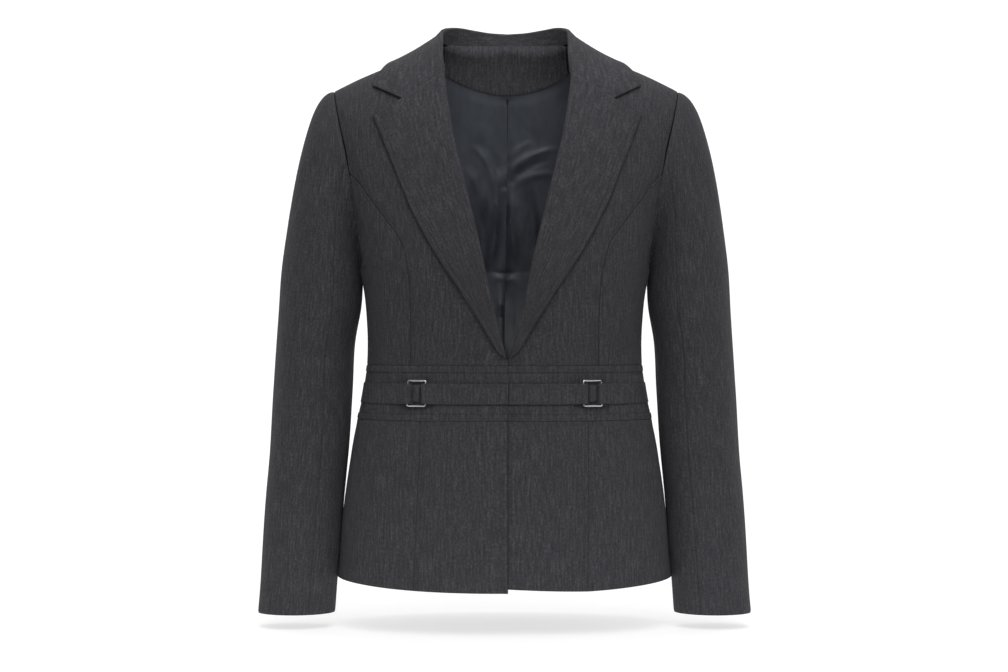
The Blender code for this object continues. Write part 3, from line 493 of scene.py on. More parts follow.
    def round_map(self, turn: Array, back: bool) -> Array:
        """Metres round the body for the crease map: from the front's middle to the back's."""
        return self.girth_radius * (np.pi - turn if back else turn)

    def unevenness(self, turn: Array, z: Array, back: bool, side: Side) -> Array:
        """Creases of the body at a turn and height; the right side's are shifted so the sides differ.

        Args:
            turn: angle from the middle.
            z: height.
            back: whether it is behind.
            side: the wearer's side.

        Returns:
            Metres to move each point outwards, fading out under belt and band.
        """
        shift = 0.0 if side is Side.LEFT else self.side_shift
        lift = self.relief.lift(self.round_map(np.abs(turn), back), z + shift * 0.6)
        band = 1 - 0.9 * ease(-0.440, -0.434, z) * (1 - ease(-0.372, -0.366, z))
        shoulder = 1 - ease(-0.06, 0.0, z)
        return lift * band * shoulder


FORM = BodyForm()


# ---------------------------------------------------------------- shells of cloth
@dataclass(frozen=True)
class Spacing:
    """How close a shell's grid lines lie, in metres: tight at the sewn edges, even between them."""

    step: float = 0.0030
    near: tuple[float, ...] = (0.0, 0.0004, 0.0009, 0.0015, 0.0023, 0.0034, 0.0048)

    def shares(self, width: float, low: bool = True, high: bool = True) -> Array:
        """Grid lines across a width as shares of it.

        Args:
            width: metres from edge to edge.
            low: whether the first edge is sewn.
            high: whether the last edge is sewn.

        Returns:
            Rising shares from 0 to 1.
        """
        near = np.array([n for n in self.near if n < 0.4 * width])
        start = near if low else near[:1]
        end = near if high else near[:1]
        count = max(2, int((width - start[-1] - end[-1]) / self.step) + 2)
        middle = np.linspace(start[-1], width - end[-1], count)
        return np.concatenate([start[:-1], middle, (width - end[:-1])[::-1]]) / width


@dataclass
class Shell:
    """One piece of cloth: two faces and a rim between a grid of points and its copy moved inwards."""

    name: str
    outer: Array          # rows x columns x 3
    outward: Array        # unit vectors
    grain: Array          # rows x columns x 2: metres across and along the warp
    thickness: float
    stitched: Array | None = None     # metres from the topstitched or shaded edge at each point, for the stitch groove and a painted shade

    def cut(self) -> Triple:
        """Width, length and area of the flat piece: the longest row and column, and the faces' sum.

        Returns:
            Metres, metres and square metres of one face.
        """
        rows = np.linalg.norm(np.diff(self.outer, axis=1), axis=-1).sum(axis=1)
        columns = np.linalg.norm(np.diff(self.outer, axis=0), axis=-1).sum(axis=0)
        a = self.outer[1:, 1:] - self.outer[:-1, :-1]
        b = self.outer[1:, :-1] - self.outer[:-1, 1:]
        area = float(np.linalg.norm(np.cross(a, b), axis=-1).sum() / 2)
        width, length = float(rows.max()), float(columns.max())
        return width, length, area

    def mesh(self) -> bpy.types.Mesh:
        """Put the two faces and the rim into a mesh, lean included, with the grain as its UV map.

        Returns:
            A closed mesh whose faces point out of the cloth.
        """
        rows, columns = self.outer.shape[:2]
        inner = self.outer - self.outward * self.thickness
        points = FORM.settle(np.concatenate([self.outer.reshape(-1, 3), inner.reshape(-1, 3)]))
        top = np.arange(rows * columns).reshape(rows, columns)
        under = top + rows * columns

        def quads(a: Array, b: Array, c: Array, d: Array) -> Array:
            """Stack four grids of corners as quads."""
            return np.stack([a.ravel(), b.ravel(), c.ravel(), d.ravel()], axis=1)

        faces = np.concatenate([
            quads(top[:-1, :-1], top[:-1, 1:], top[1:, 1:], top[1:, :-1]),
            quads(under[:-1, :-1], under[1:, :-1], under[1:, 1:], under[:-1, 1:]),
            quads(top[0, :-1], under[0, :-1], under[0, 1:], top[0, 1:]),
            quads(top[-1, :-1], top[-1, 1:], under[-1, 1:], under[-1, :-1]),
            quads(top[:-1, 0], top[1:, 0], under[1:, 0], under[:-1, 0]),
            quads(top[:-1, -1], under[:-1, -1], under[1:, -1], top[1:, -1]),
        ])
        if inside_out(points, faces):
            faces = faces[:, ::-1]
        mesh = bpy.data.meshes.new(self.name)
        mesh.from_pydata(points.tolist(), [], faces.tolist())
        grain = np.concatenate([self.grain.reshape(-1, 2), self.grain.reshape(-1, 2)])
        mesh.uv_layers.new(name="grain").data.foreach_set("uv", grain[faces.ravel()].ravel().astype(np.float32))
        # the seam attribute places the stitch groove and a painted shade near seams and edges
        far = np.full((rows, columns), 1.0) if self.stitched is None else self.stitched
        seam = mesh.attributes.new("seam", "FLOAT", "POINT")
        seam.data.foreach_set("value", np.concatenate([far.ravel(), far.ravel()]).astype(np.float32))
        mesh.shade_smooth()
        mesh.set_sharp_from_angle(angle=math.radians(50))
        return mesh


def dressed(name: str, mesh: bpy.types.Mesh, finish: Material, slot: Slot,
            *nodes: str) -> bpy.types.Object:
    """Make the piece's object, give it its finish, and set it in place of its solids.

    Args:
        name: the piece's name.
        mesh: its mesh, already in place.
        finish: its material.
        slot: the record's slot; not used.
        nodes: the solids it stands for.

    Returns:
        The object, riding on the coat.
    """
    mesh.materials.append(finish)
    piece = bpy.data.objects.new(name, mesh)
    bpy.context.scene.collection.objects.link(piece)
    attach(piece, "root")
    if nodes:
        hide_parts(*nodes)
    LOG.info("%s: %d faces, stands for %s", name, len(mesh.polygons), list(nodes))
    return piece


def hang(shell: Shell, finish: Material, node: str, slot: Slot = Slot.SUITING) -> bpy.types.Object:
    """Dress a shell and measure the flat piece of cloth it was cut from; the sizes are not kept.

    Args:
        shell: the piece of cloth.
        finish: its material.
        node: the solid it stands for.
        slot: the record's slot.

    Returns:
        The piece's object.
    """
    piece = dressed(shell.name, shell.mesh(), finish, slot, node)
    width, length, area = shell.cut()
    return piece


def pressed(distance: Array, depth: float = 0.0008, reach: float = 0.0014) -> Array:
    """How far cloth dips towards a seam or turned edge: a bell over the distance from it."""
    return -depth * np.exp(-((distance / reach) ** 2))


@dataclass(frozen=True)
class Patch:
    """A panel of the body's form between two turns, on rows of levels."""

    name: str
    side: Side
    levels: Array
    low: Array
    high: Array
    back: bool = False
    over: bool = False
    stitch_low: bool = False
    stitch_high: bool = False
    edges: tuple[bool, bool] = (True, True)
    thickness: float = CLOTH

    def widths(self) -> Array:
        """Metres across each row, from the chords of seven steps.

        Returns:
            One width for each row, never nothing.
        """
        steps = self.low[:, None] + (self.high - self.low)[:, None] * np.linspace(0, 1, 7)
        p = FORM.point(steps, self.levels[:, None], self.back)
        return np.maximum(np.linalg.norm(np.diff(p, axis=1), axis=-1).sum(axis=1), 1e-5)

    def first(self) -> Array:
        """Metres along each row from the body's middle to the low edge, from forty chords.

        Returns:
            One signed distance for each row.
        """
        steps = self.low[:, None] * np.linspace(0, 1, 41)
        p = FORM.point(steps, self.levels[:, None], self.back)
        return np.sign(self.low) * np.linalg.norm(np.diff(p, axis=1), axis=-1).sum(axis=1)

    def at(self, share: Array, lift: Array | float = 0.0) -> tuple[Array, Array]:
        """Points and outward vectors at shares across each row: the form moved out by creases and lift.

        Args:
            share: rows x columns of shares from the low to the high edge.
            lift: metres more to move out.

        Returns:
            Points and unit vectors, on this patch's side.
        """
        gap = -LAP / self.widths()[:, None]
        share = gap + (1 - 2 * gap) * share
        turns = self.low[:, None] + (self.high - self.low)[:, None] * share
        levels = self.levels[:, None] + 0 * turns
        points = FORM.point(turns, levels, self.back)
        flip = np.where(turns < 0, -1.0, 1.0)[..., None] * [1.0, 0.0, 0.0] + [0.0, 1.0, 1.0]
        normals = FORM.outward(np.abs(turns), levels, self.back) * flip
        lift = lift + FORM.unevenness(turns, points[..., 2], self.back, self.side)
        points, normals = self.side.turn_over(points), self.side.turn_over(normals)
        if self.over:
            lift = lift + FORM.over_rise(points[..., 0], points[..., 2])
        return points + normals * lift[..., None], normals

    def shell(self, spacing: Spacing = Spacing()) -> Shell:
        """The patch as a shell of cloth, dipping to its seams, with the warp running up it.

        Args:
            spacing: how close the grid lines lie.

        Returns:
            The shell, ready to hang.
        """
        widths = self.widths()[:, None]
        share = spacing.shares(float(widths.max()))[None, :] + 0 * widths
        low, high = share * widths, (1 - share) * widths
        lift = pressed(low) + pressed(high)
        points, normals = self.at(share, lift)
        along = run_along(points[:, points.shape[1] // 2])[:, None]
        first, last = self.edges
        lift = (pressed(along, EDGE_DIP) * first + pressed(along[-1] - along, EDGE_DIP) * last)[..., None]
        across = self.side.value * (self.first()[:, None] + low) + 0.137 * len(self.name)
        grain = np.stack([across, along + 0 * low], axis=-1)
        # far darkens the colour near stitched seams as painted shade, and places the stitch groove
        far = np.minimum(np.where(self.stitch_low, low, 1.0), np.where(self.stitch_high, high, 1.0))
        return Shell(self.name, points + normals * lift, normals, grain, self.thickness, far)


def rows_between(foot: float, head: float, step: float = 0.0032) -> Array:
    """Levels from foot to head, both under the chest or both above it, tight at both ends.

    Args:
        foot: lowest level.
        head: highest level.
        step: metres between rows.

    Returns:
        Rising levels.
    """
    length = head - foot
    metres = length if foot < 0 else 0.30 * length
    return foot + length * Spacing(step).shares(metres)


def bodice_rows(head: float) -> Array:
    """Levels from the waist seam up to a level above the chest.

    Args:
        head: highest level.

    Returns:
        Rising levels.
    """
    foot = FORM.waist_z - FORM.chest_z + LAP
    below = foot - foot * Spacing(0.0032).shares(-foot, high=False)
    above = head * Spacing(0.0032).shares(0.30 * head, low=False)
    return np.concatenate([below, above[1:]])


# ---------------------------------------------------------------- stitching
@dataclass(frozen=True)
class Stitching:
    """Machine topstitching: short round stitches laid end to end along lines on the cloth."""

    pitch: float = 0.0030
    length: float = 0.0023
    radius: float = 0.00022
    inset: float = 0.0055
    belly: tuple[float, ...] = (0.35, 0.85, 1.0, 0.85, 0.35)     # each ring's share of the radius
    around: int = 6                  # points in a ring
    stand: float = 0.35              # share of the radius by which a stitch stands out

    def along(self, path: Array, normals: Array) -> tuple[Array, Array]:
        """Lay stitches on a path: each is a spindle, round in section, bellied along it.

        Args:
            path: points on the cloth.
            normals: unit vectors out of the cloth there.

        Returns:
            The stitches' points, and their faces as quads.
        """
        run = run_along(path)
        centres = np.arange(self.pitch, run[-1] - self.pitch / 2, self.pitch)
        middle = np.stack([np.interp(centres, run, path[:, k]) for k in range(3)], axis=-1)
        out = unit(np.stack([np.interp(centres, run, normals[:, k]) for k in range(3)], axis=-1))
        ahead = np.stack([np.interp(centres + 1e-3, run, path[:, k]) for k in range(3)], axis=-1)
        ahead = unit(ahead - middle)
        beside = unit(np.cross(out, ahead))
        spots = np.linspace(-0.5, 0.5, len(self.belly))
        angles = np.linspace(0, 2 * np.pi, self.around, endpoint=False)
        ring = self.radius * np.array(self.belly)[:, None]
        dx = (spots * self.length)[:, None] + 0 * ring * angles
        dy, dz = ring * np.cos(angles), ring * np.sin(angles) + self.radius * self.stand
        local = np.stack([dx, dy, dz], axis=-1).reshape(1, -1, 3)
        axes = np.stack([ahead, beside, out], axis=1)
        points = middle[:, None, :] + np.einsum("spk,skc->spc", local + 0 * middle[:, None, :1], axes)
        index = np.arange(len(self.belly) * self.around).reshape(len(self.belly), self.around)
        index = np.concatenate([index, index[:, :1]], axis=1)
        sides = grid_quads(index)
        ends = np.array([[3, 2, 1, 0], [5, 4, 3, 0], [24, 25, 26, 27], [24, 27, 28, 29]])
        one = np.concatenate([sides[:, ::-1], ends[:, ::-1]])
        faces = one[None] + len(self.belly) * self.around * np.arange(len(middle))[:, None, None]
        return points.reshape(-1, 3), faces.reshape(-1, 4)

    def piece(self, name: str, lines: list[tuple[Array, Array]], thread: Material) -> bpy.types.Object:
        """Gather the stitches of several lines into one piece.

        Args:
            name: the piece's name.
            lines: pairs of path and normals.
            thread: the thread's material.

        Returns:
            The stitches' object.
        """
        points, faces, count = [], [], 0
        for path, normals in lines:
            p, f = self.along(path, normals)
            points.append(p)
            faces.append(f + count)
            count += len(p)
        cloud = FORM.settle(np.concatenate(points))
        mesh = bpy.data.meshes.new(name)
        mesh.from_pydata(cloud.tolist(), [], np.concatenate(faces).tolist())
        mesh.shade_smooth()
        return dressed(name, mesh, thread, Slot.SUITING)


# ---------------------------------------------------------------- finishes
class Nodes:
    """A material's node tree, with short ways to add and join nodes."""

    def __init__(self, name: str) -> None:
        """Start a material with its shader and output.

        Args:
            name: the material's name.
        """
        self.material = bpy.data.materials.new(name)
        self.material.use_nodes = True
        self.tree = self.material.node_tree
        self.shader = self.tree.nodes["Principled BSDF"]

    def add(self, kind: str, **settings: object) -> bpy.types.Node:
        """Add a node and set its own properties.

        Args:
            kind: the node's type.
            settings: property values by name.

        Returns:
            The new node.
        """
        node = self.tree.nodes.new(kind)
        for key, value in settings.items():
            setattr(node, key, value)
        return node

    def join(self, source: Socket, target: Socket) -> None:
        """Join one socket to another."""
        self.tree.links.new(source, target)

    def fix(self, **values: object) -> None:
        """Set constants on the shader's own sockets, named with underscores for spaces."""
        for key, value in values.items():
            self.shader.inputs[key.replace("_", " ")].default_value = value

    def sum(self, parts: list[tuple[Socket, float]]) -> Socket:
        """Add sockets, each times its weight.

        Args:
            parts: pairs of socket and weight.

        Returns:
            The socket with the sum.
        """
        total = None
        for socket, weight in parts:
            times = self.add("ShaderNodeMath", operation="MULTIPLY_ADD")
            self.join(socket, times.inputs[0])
            times.inputs[1].default_value = weight
            if total is None:
                times.inputs[2].default_value = 0.0
            else:
                self.join(total, times.inputs[2])
            total = times.outputs[0]
        return total

    def noise(self, place: Socket, size: Pair, detail: float = 2.0) -> Socket:
        """Noise whose spots measure size (metres across and along).

        Args:
            place: the coordinates.
            size: width and length of a spot.
            detail: octaves.

        Returns:
            The noise's socket.
        """
        mapping = self.add("ShaderNodeMapping")
        mapping.inputs["Scale"].default_value = (1 / size[0], 1 / size[1], 1.0)
        texture = self.add("ShaderNodeTexNoise")
        texture.inputs["Scale"].default_value = 1.0
        texture.inputs["Detail"].default_value = detail
        texture.inputs["Roughness"].default_value = 0.6
        self.join(place, mapping.inputs["Vector"])
        self.join(mapping.outputs["Vector"], texture.inputs["Vector"])
        return texture.outputs["Fac"]

    def threads(self, place: Socket, pitch: float, direction: str) -> Socket:
        """Round threads lying side by side: sine bands of one pitch in metres.

        Args:
            place: the coordinates.
            pitch: metres from thread to thread.
            direction: the axis across them.

        Returns:
            The bands' socket.
        """
        mapping = self.add("ShaderNodeMapping")
        mapping.inputs["Scale"].default_value = (1000.0, 1000.0, 1000.0)
        wave = self.add("ShaderNodeTexWave", wave_type="BANDS", bands_direction=direction)
        wave.inputs["Scale"].default_value = 0.31416 / (pitch * 1000)
        wave.inputs["Distortion"].default_value = 0.6
        wave.inputs["Detail Scale"].default_value = 0.6
        self.join(place, mapping.inputs["Vector"])
        self.join(mapping.outputs["Vector"], wave.inputs["Vector"])
        return wave.outputs["Fac"]

    def ramp(self, socket: Socket, stops: tuple[tuple[float, Colour], ...]) -> Socket:
        """Turn a value into a colour along stops.

        Args:
            socket: the value.
            stops: pairs of place and colour.

        Returns:
            The colour's socket.
        """
        ramp = self.add("ShaderNodeValToRGB")
        elements = ramp.color_ramp.elements
        while len(elements) < len(stops):
            elements.new(0.5)
        for element, (at, colour) in zip(elements, stops):
            element.position = at
            element.color = (*colour, 1.0)
        self.join(socket, ramp.inputs["Fac"])
        return ramp.outputs["Color"]

    def bump(self, height: Socket, distance: float, strength: float = 1.0) -> None:
        """Join a height in units of distance to the shader's normal.

        Args:
            height: the socket with the relief.
            distance: metres that a height of one stands for.
            strength: share of it that shows.
        """
        bump = self.add("ShaderNodeBump")
        bump.inputs["Distance"].default_value = distance
        bump.inputs["Strength"].default_value = strength
        self.join(height, bump.inputs["Height"])
        self.join(bump.outputs["Normal"], self.shader.inputs["Normal"])


@dataclass(frozen=True)
class Suiting:
    """Charcoal mélange suiting: fine warp streaks and slubs over a plain weave, matt, with painted shade near
    seams and edges.
    """

    name: str = "charcoal_suiting"
    dark: Colour = (0.024, 0.0232, 0.0272)
    middle: Colour = (0.042, 0.0408, 0.0470)
    light: Colour = (0.085, 0.083, 0.091)
    crevice: float = 0.52            # painted shade: the share of the colour left deep in a seam or at an edge
    roughness: float = 0.88
    sheen: float = 0.07
    stitch_from_edge: float = 0.0055
    crevice_reach: Pair = (0.0002, 0.0015)
    groove_half: float = 0.0013      # half-width of the groove that the stitches lie in

    def material(self) -> Material:
        """Build the nodes: streaks, slubs and grain give the colour, darkened near seams and edges as painted
        shade; threads and the stitch groove give the relief.

        Returns:
            The material.
        """
        n = Nodes(self.name)
        place = n.add("ShaderNodeTexCoord").outputs["UV"]
        streak = n.noise(place, (0.0023, 0.018), 2.0)
        slub = n.noise(place, (0.0024, 0.045), 2.0)
        grain = n.noise(place, (0.0024, 0.0030), 2.0)
        broad = n.noise(place, (0.030, 0.080), 2.0)
        warp, weft = n.threads(place, 0.00055, "X"), n.threads(place, 0.00065, "Y")
        tone = n.sum([(streak, 0.36), (slub, 0.18), (grain, 0.36), (broad, 0.05), (warp, 0.03), (weft, 0.02)])
        # the seam attribute's distance darkens the colour near seams and edges: painted shade
        seam = n.add("ShaderNodeAttribute", attribute_name="seam", attribute_type="GEOMETRY").outputs["Fac"]
        crevice = n.add("ShaderNodeMapRange", interpolation_type="SMOOTHSTEP")
        crevice.inputs["From Min"].default_value, crevice.inputs["From Max"].default_value = self.crevice_reach
        crevice.inputs["To Min"].default_value = self.crevice
        crevice.inputs["To Max"].default_value = 1.0
        n.join(seam, crevice.inputs["Value"])
        shade = n.add("ShaderNodeVectorMath", operation="SCALE")
        n.join(n.ramp(tone, ((0.34, self.dark), (0.50, self.middle), (0.68, self.light))), shade.inputs["Vector"])
        n.join(crevice.outputs["Result"], shade.inputs["Scale"])
        n.join(shade.outputs["Vector"], n.shader.inputs["Base Color"])
        off = n.add("ShaderNodeMath", operation="SUBTRACT")
        n.join(seam, off.inputs[0])
        off.inputs[1].default_value = self.stitch_from_edge
        away = n.add("ShaderNodeMath", operation="ABSOLUTE")
        n.join(off.outputs[0], away.inputs[0])
        groove = n.add("ShaderNodeMapRange", interpolation_type="SMOOTHSTEP")
        groove.inputs["From Min"].default_value = 0.0
        groove.inputs["From Max"].default_value = self.groove_half
        groove.inputs["To Min"].default_value = -1.0
        groove.inputs["To Max"].default_value = 0.0
        n.join(away.outputs[0], groove.inputs["Value"])
        height = n.sum([(warp, 0.22), (weft, 0.22), (streak, 0.35), (slub, 0.30), (grain, 0.35),
                        (groove.outputs["Result"], 1.3)])
        n.bump(height, 0.00035, 0.8)
        n.fix(Roughness=self.roughness, Specular_IOR_Level=0.25, Sheen_Weight=self.sheen, Sheen_Roughness=0.45,
              Sheen_Tint=(0.55, 0.55, 0.60, 1.0))
        return n.material


@dataclass(frozen=True)
class Satin:
    """Dark navy lining satin: soft sheen along fine warp floats, its colour painted from pale to dark downwards as
    painted shade.
    """

    dark: Colour = (0.020, 0.023, 0.032)
    light: Colour = (0.082, 0.091, 0.112)
    nap: Pair = (-0.26, -0.06)     # heights between which the painted shade turns from dark to light

    def material(self) -> Material:
        """Build the nodes: slow patches of tone, a painted shade darker downwards, fine floats in relief, an
        anisotropic sheen.

        Returns:
            The material.
        """
        n = Nodes("navy_satin")
        place = n.add("ShaderNodeTexCoord").outputs["UV"]
        patch, float_line = n.noise(place, (0.020, 0.045), 2.0), n.noise(place, (0.0006, 0.010), 2.0)
        split = n.add("ShaderNodeSeparateXYZ")
        n.join(place, split.inputs["Vector"])
        nap = n.add("ShaderNodeMapRange", interpolation_type="SMOOTHSTEP")
        nap.inputs["From Min"].default_value, nap.inputs["From Max"].default_value = self.nap
        n.join(split.outputs["Y"], nap.inputs["Value"])
        tone = n.sum([(patch, 0.45), (float_line, 0.15), (nap.outputs["Result"], 0.40)])
        n.join(n.ramp(tone, ((0.28, self.dark), (0.72, self.light))), n.shader.inputs["Base Color"])
        small = n.noise(place, (0.012, 0.018), 2.0)
        n.bump(n.sum([(float_line, 0.06), (small, 1.0)]), 0.0006, 0.5)
        n.fix(Roughness=0.50, Specular_IOR_Level=0.45, Anisotropic=0.3, Sheen_Weight=0.15, Sheen_Roughness=0.3,
              Sheen_Tint=(0.35, 0.45, 0.70, 1.0))
        return n.material


@dataclass(frozen=True)
class BuckleMetal:
    """Polished silver-coloured wire with faint drawing lines."""

    colour: Colour = (0.60, 0.60, 0.61)
    worn: Colour = (0.48, 0.48, 0.50)

    def material(self) -> Material:
        """Build the nodes: two close greys and a fine scratch relief on a mirror-like metal.

        Returns:
            The material.
        """
        n = Nodes("polished_wire")
        place = n.add("ShaderNodeTexCoord").outputs["Object"]
        spot, scratch = n.noise(place, (0.004, 0.004), 2.0), n.noise(place, (0.0006, 0.0002), 3.0)
        n.join(n.ramp(spot, ((0.35, self.worn), (0.6, self.colour))), n.shader.inputs["Base Color"])
        n.bump(scratch, 0.00003, 0.5)
        n.fix(Metallic=1.0, Roughness=0.17)
        return n.material


@dataclass(frozen=True)
class Thread:
    """Charcoal sewing thread, a little smoother than the cloth."""

    dark: Colour = (0.020, 0.020, 0.023)
    light: Colour = (0.055, 0.054, 0.060)

    def material(self) -> Material:
        """Build the nodes: twist lines in tone and relief.

        Returns:
            The material.
        """
        n = Nodes("charcoal_thread")
        place = n.add("ShaderNodeTexCoord").outputs["Object"]
        twist = n.noise(place, (0.0003, 0.0003), 2.0)
        n.join(n.ramp(twist, ((0.3, self.dark), (0.7, self.light))), n.shader.inputs["Base Color"])
        n.bump(twist, 0.0001, 0.5)
        n.fix(Roughness=0.6, Specular_IOR_Level=0.35, Sheen_Weight=0.1)
        return n.material


@dataclass(frozen=True)
class Paper:
    """The pale seamless paper of the studio."""

    colour: Colour = (0.50, 0.50, 0.50)
    tooth: float = 0.985             # the darker spots' share of the colour
    glow: float = 0.66

    def material(self) -> Material:
        """Build the nodes: nearly even white with a faint tooth.

        Returns:
            The material.
        """
        n = Nodes("studio_paper")
        place = n.add("ShaderNodeTexCoord").outputs["Object"]
        tooth = n.noise(place, (0.004, 0.004), 2.0)
        soft = tuple(self.tooth * c for c in self.colour)
        n.join(n.ramp(tooth, ((0.3, soft), (0.7, self.colour))), n.shader.inputs["Base Color"])
        n.fix(Roughness=0.8, Specular_IOR_Level=0.1, Emission_Color=(1.0, 1.0, 1.0, 1.0),
              Emission_Strength=self.glow)
        return n.material


@dataclass(frozen=True)
class Wardrobe:
    """The finishes that the pieces are dressed in."""

    suiting: Material
    # the suiting lightened for the back neck facing: painted light
    facing: Material
    satin: Material
    metal: Material
    thread: Material


# ---------------------------------------------------------------- bodice
@dataclass(frozen=True)
class Bodice:
    """Fronts and backs from the waist seam to the shoulder, with their curved front seams."""

    front_past_roll: float = 0.0046
    notch: Pair = (0.1180, -0.0741)     # distance from the closing line, height
    shade: float = 0.008             # how far from the lapel's upper edge the front's colour is darkened as painted shadow
    meets: float = 0.006             # the side front ends where its seam is this turn from the armhole

    def front_edge(self, level: Array, side: Side) -> Array:
        """Turn of the front's inner edge: just outside the roll line, or the closing line below it.

        Args:
            level: one level for each row.
            side: the wearer's side.

        Returns:
            One turn for each row.
        """
        z = np.linspace(-0.45, 0.05, 120)
        rolled = smooth(FORM.roll, 1, z) + self.front_past_roll * ease(-0.3655, -0.3560, z)
        distance = np.where(z > FORM.roll[0][0], rolled, FORM.seam_half) + side.value * FORM.closing_x(z)
        return FORM.crossing(level, tuple(zip(z, distance)))

    def curved_seam(self, level: Array) -> Array:
        """Turn of the long curved seam, until it runs into the armhole."""
        return np.minimum(FORM.crossing(level, FORM.princess), FORM.armhole_turn(level))

    def meeting_level(self) -> float:
        """The level where the curved seam meets the armhole.

        Returns:
            A level between the chest and the shoulder.
        """
        levels = np.linspace(0.02, 0.6, 581)
        apart = FORM.armhole_turn(levels) - self.curved_seam(levels)
        return float(levels[np.argmax(apart < self.meets)])

    def neck_turn(self, level: Array) -> Array:
        """Turn where the back neck's ellipse cuts each level, 0 below it.

        Args:
            level: one level for each row.

        Returns:
            One turn for each row.
        """
        turns = np.linspace(0.0, np.pi / 2, 500)[None, :]
        p = FORM.point(turns, level[:, None], True)
        past = (p[..., 0] / FORM.neck[0]) ** 2 + (p[..., 1] / FORM.neck[1]) ** 2 > 1
        found = turns[0, np.argmax(past, axis=1)]
        return np.where(past[:, 0], 0.0, found)

    def under_lapel(self, points: Array, side: Side) -> Array:
        """How near the front lies to the lapel's upper edge, where a painted shadow darkens its colour.

        Args:
            points: points of the front.
            side: the wearer's side.

        Returns:
            A share of the distance to the edge between notch and corner, or 1 farther off.
        """
        corner = np.array([FORM.lapel_edge[-1][1], FORM.lapel_edge[-1][0]])
        run = np.array(self.notch) - corner
        from_closing = side.value * points[..., 0] - side.value * FORM.closing_x(points[..., 2])
        place = np.stack([from_closing, points[..., 2]], axis=-1)
        share = np.clip(((place - corner) @ run) / (run @ run), 0, 1)
        apart = np.linalg.norm(place - corner - share[..., None] * run, axis=-1)
        return np.where(apart < self.shade, 0.4 * apart, 1.0)

    def build(self, wardrobe: Wardrobe, stitching: Stitching) -> None:
        """Hang the six panels and topstitch the curved seams.

        Args:
            wardrobe: the finishes.
            stitching: the topstitching to use.
        """
        lines = []
        for side in Side:
            over = side is Side.RIGHT
            rows = bodice_rows(FORM.top_level)
            centre = Patch(f"front_centre_{side.word}", side, rows, self.front_edge(rows, side),
                           self.curved_seam(rows), over=over, stitch_high=True)
            shell = centre.shell()
            # painted shadow under the lapel's upper edge, carried by the seam attribute
            shell.stitched = np.minimum(shell.stitched, self.under_lapel(shell.outer, side))
            hang(shell, wardrobe.suiting, centre.name)
            top = self.meeting_level()
            under = rows < top
            sewn = Patch("seam", side, rows[under], centre.low[under], centre.high[under], over=over)
            inset = 1 - stitching.inset / sewn.widths()[:, None]
            path, normals = sewn.at(inset)
            lines.append((path[2:, 0], normals[2:, 0]))
            rows = bodice_rows(top)
            flank = Patch(f"front_side_{side.word}", side, rows, self.curved_seam(rows), FORM.armhole_turn(rows),
                          over=over, stitch_low=True)
            hang(flank.shell(), wardrobe.suiting, flank.name)
            rows = bodice_rows(FORM.top_level)
            behind = Patch(f"back_{side.word}", side, rows, self.neck_turn(rows), FORM.armhole_turn(rows),
                           back=True)
            hang(behind.shell(), wardrobe.suiting, behind.name)
        stitching.piece("topstitching_bodice", lines, wardrobe.thread)


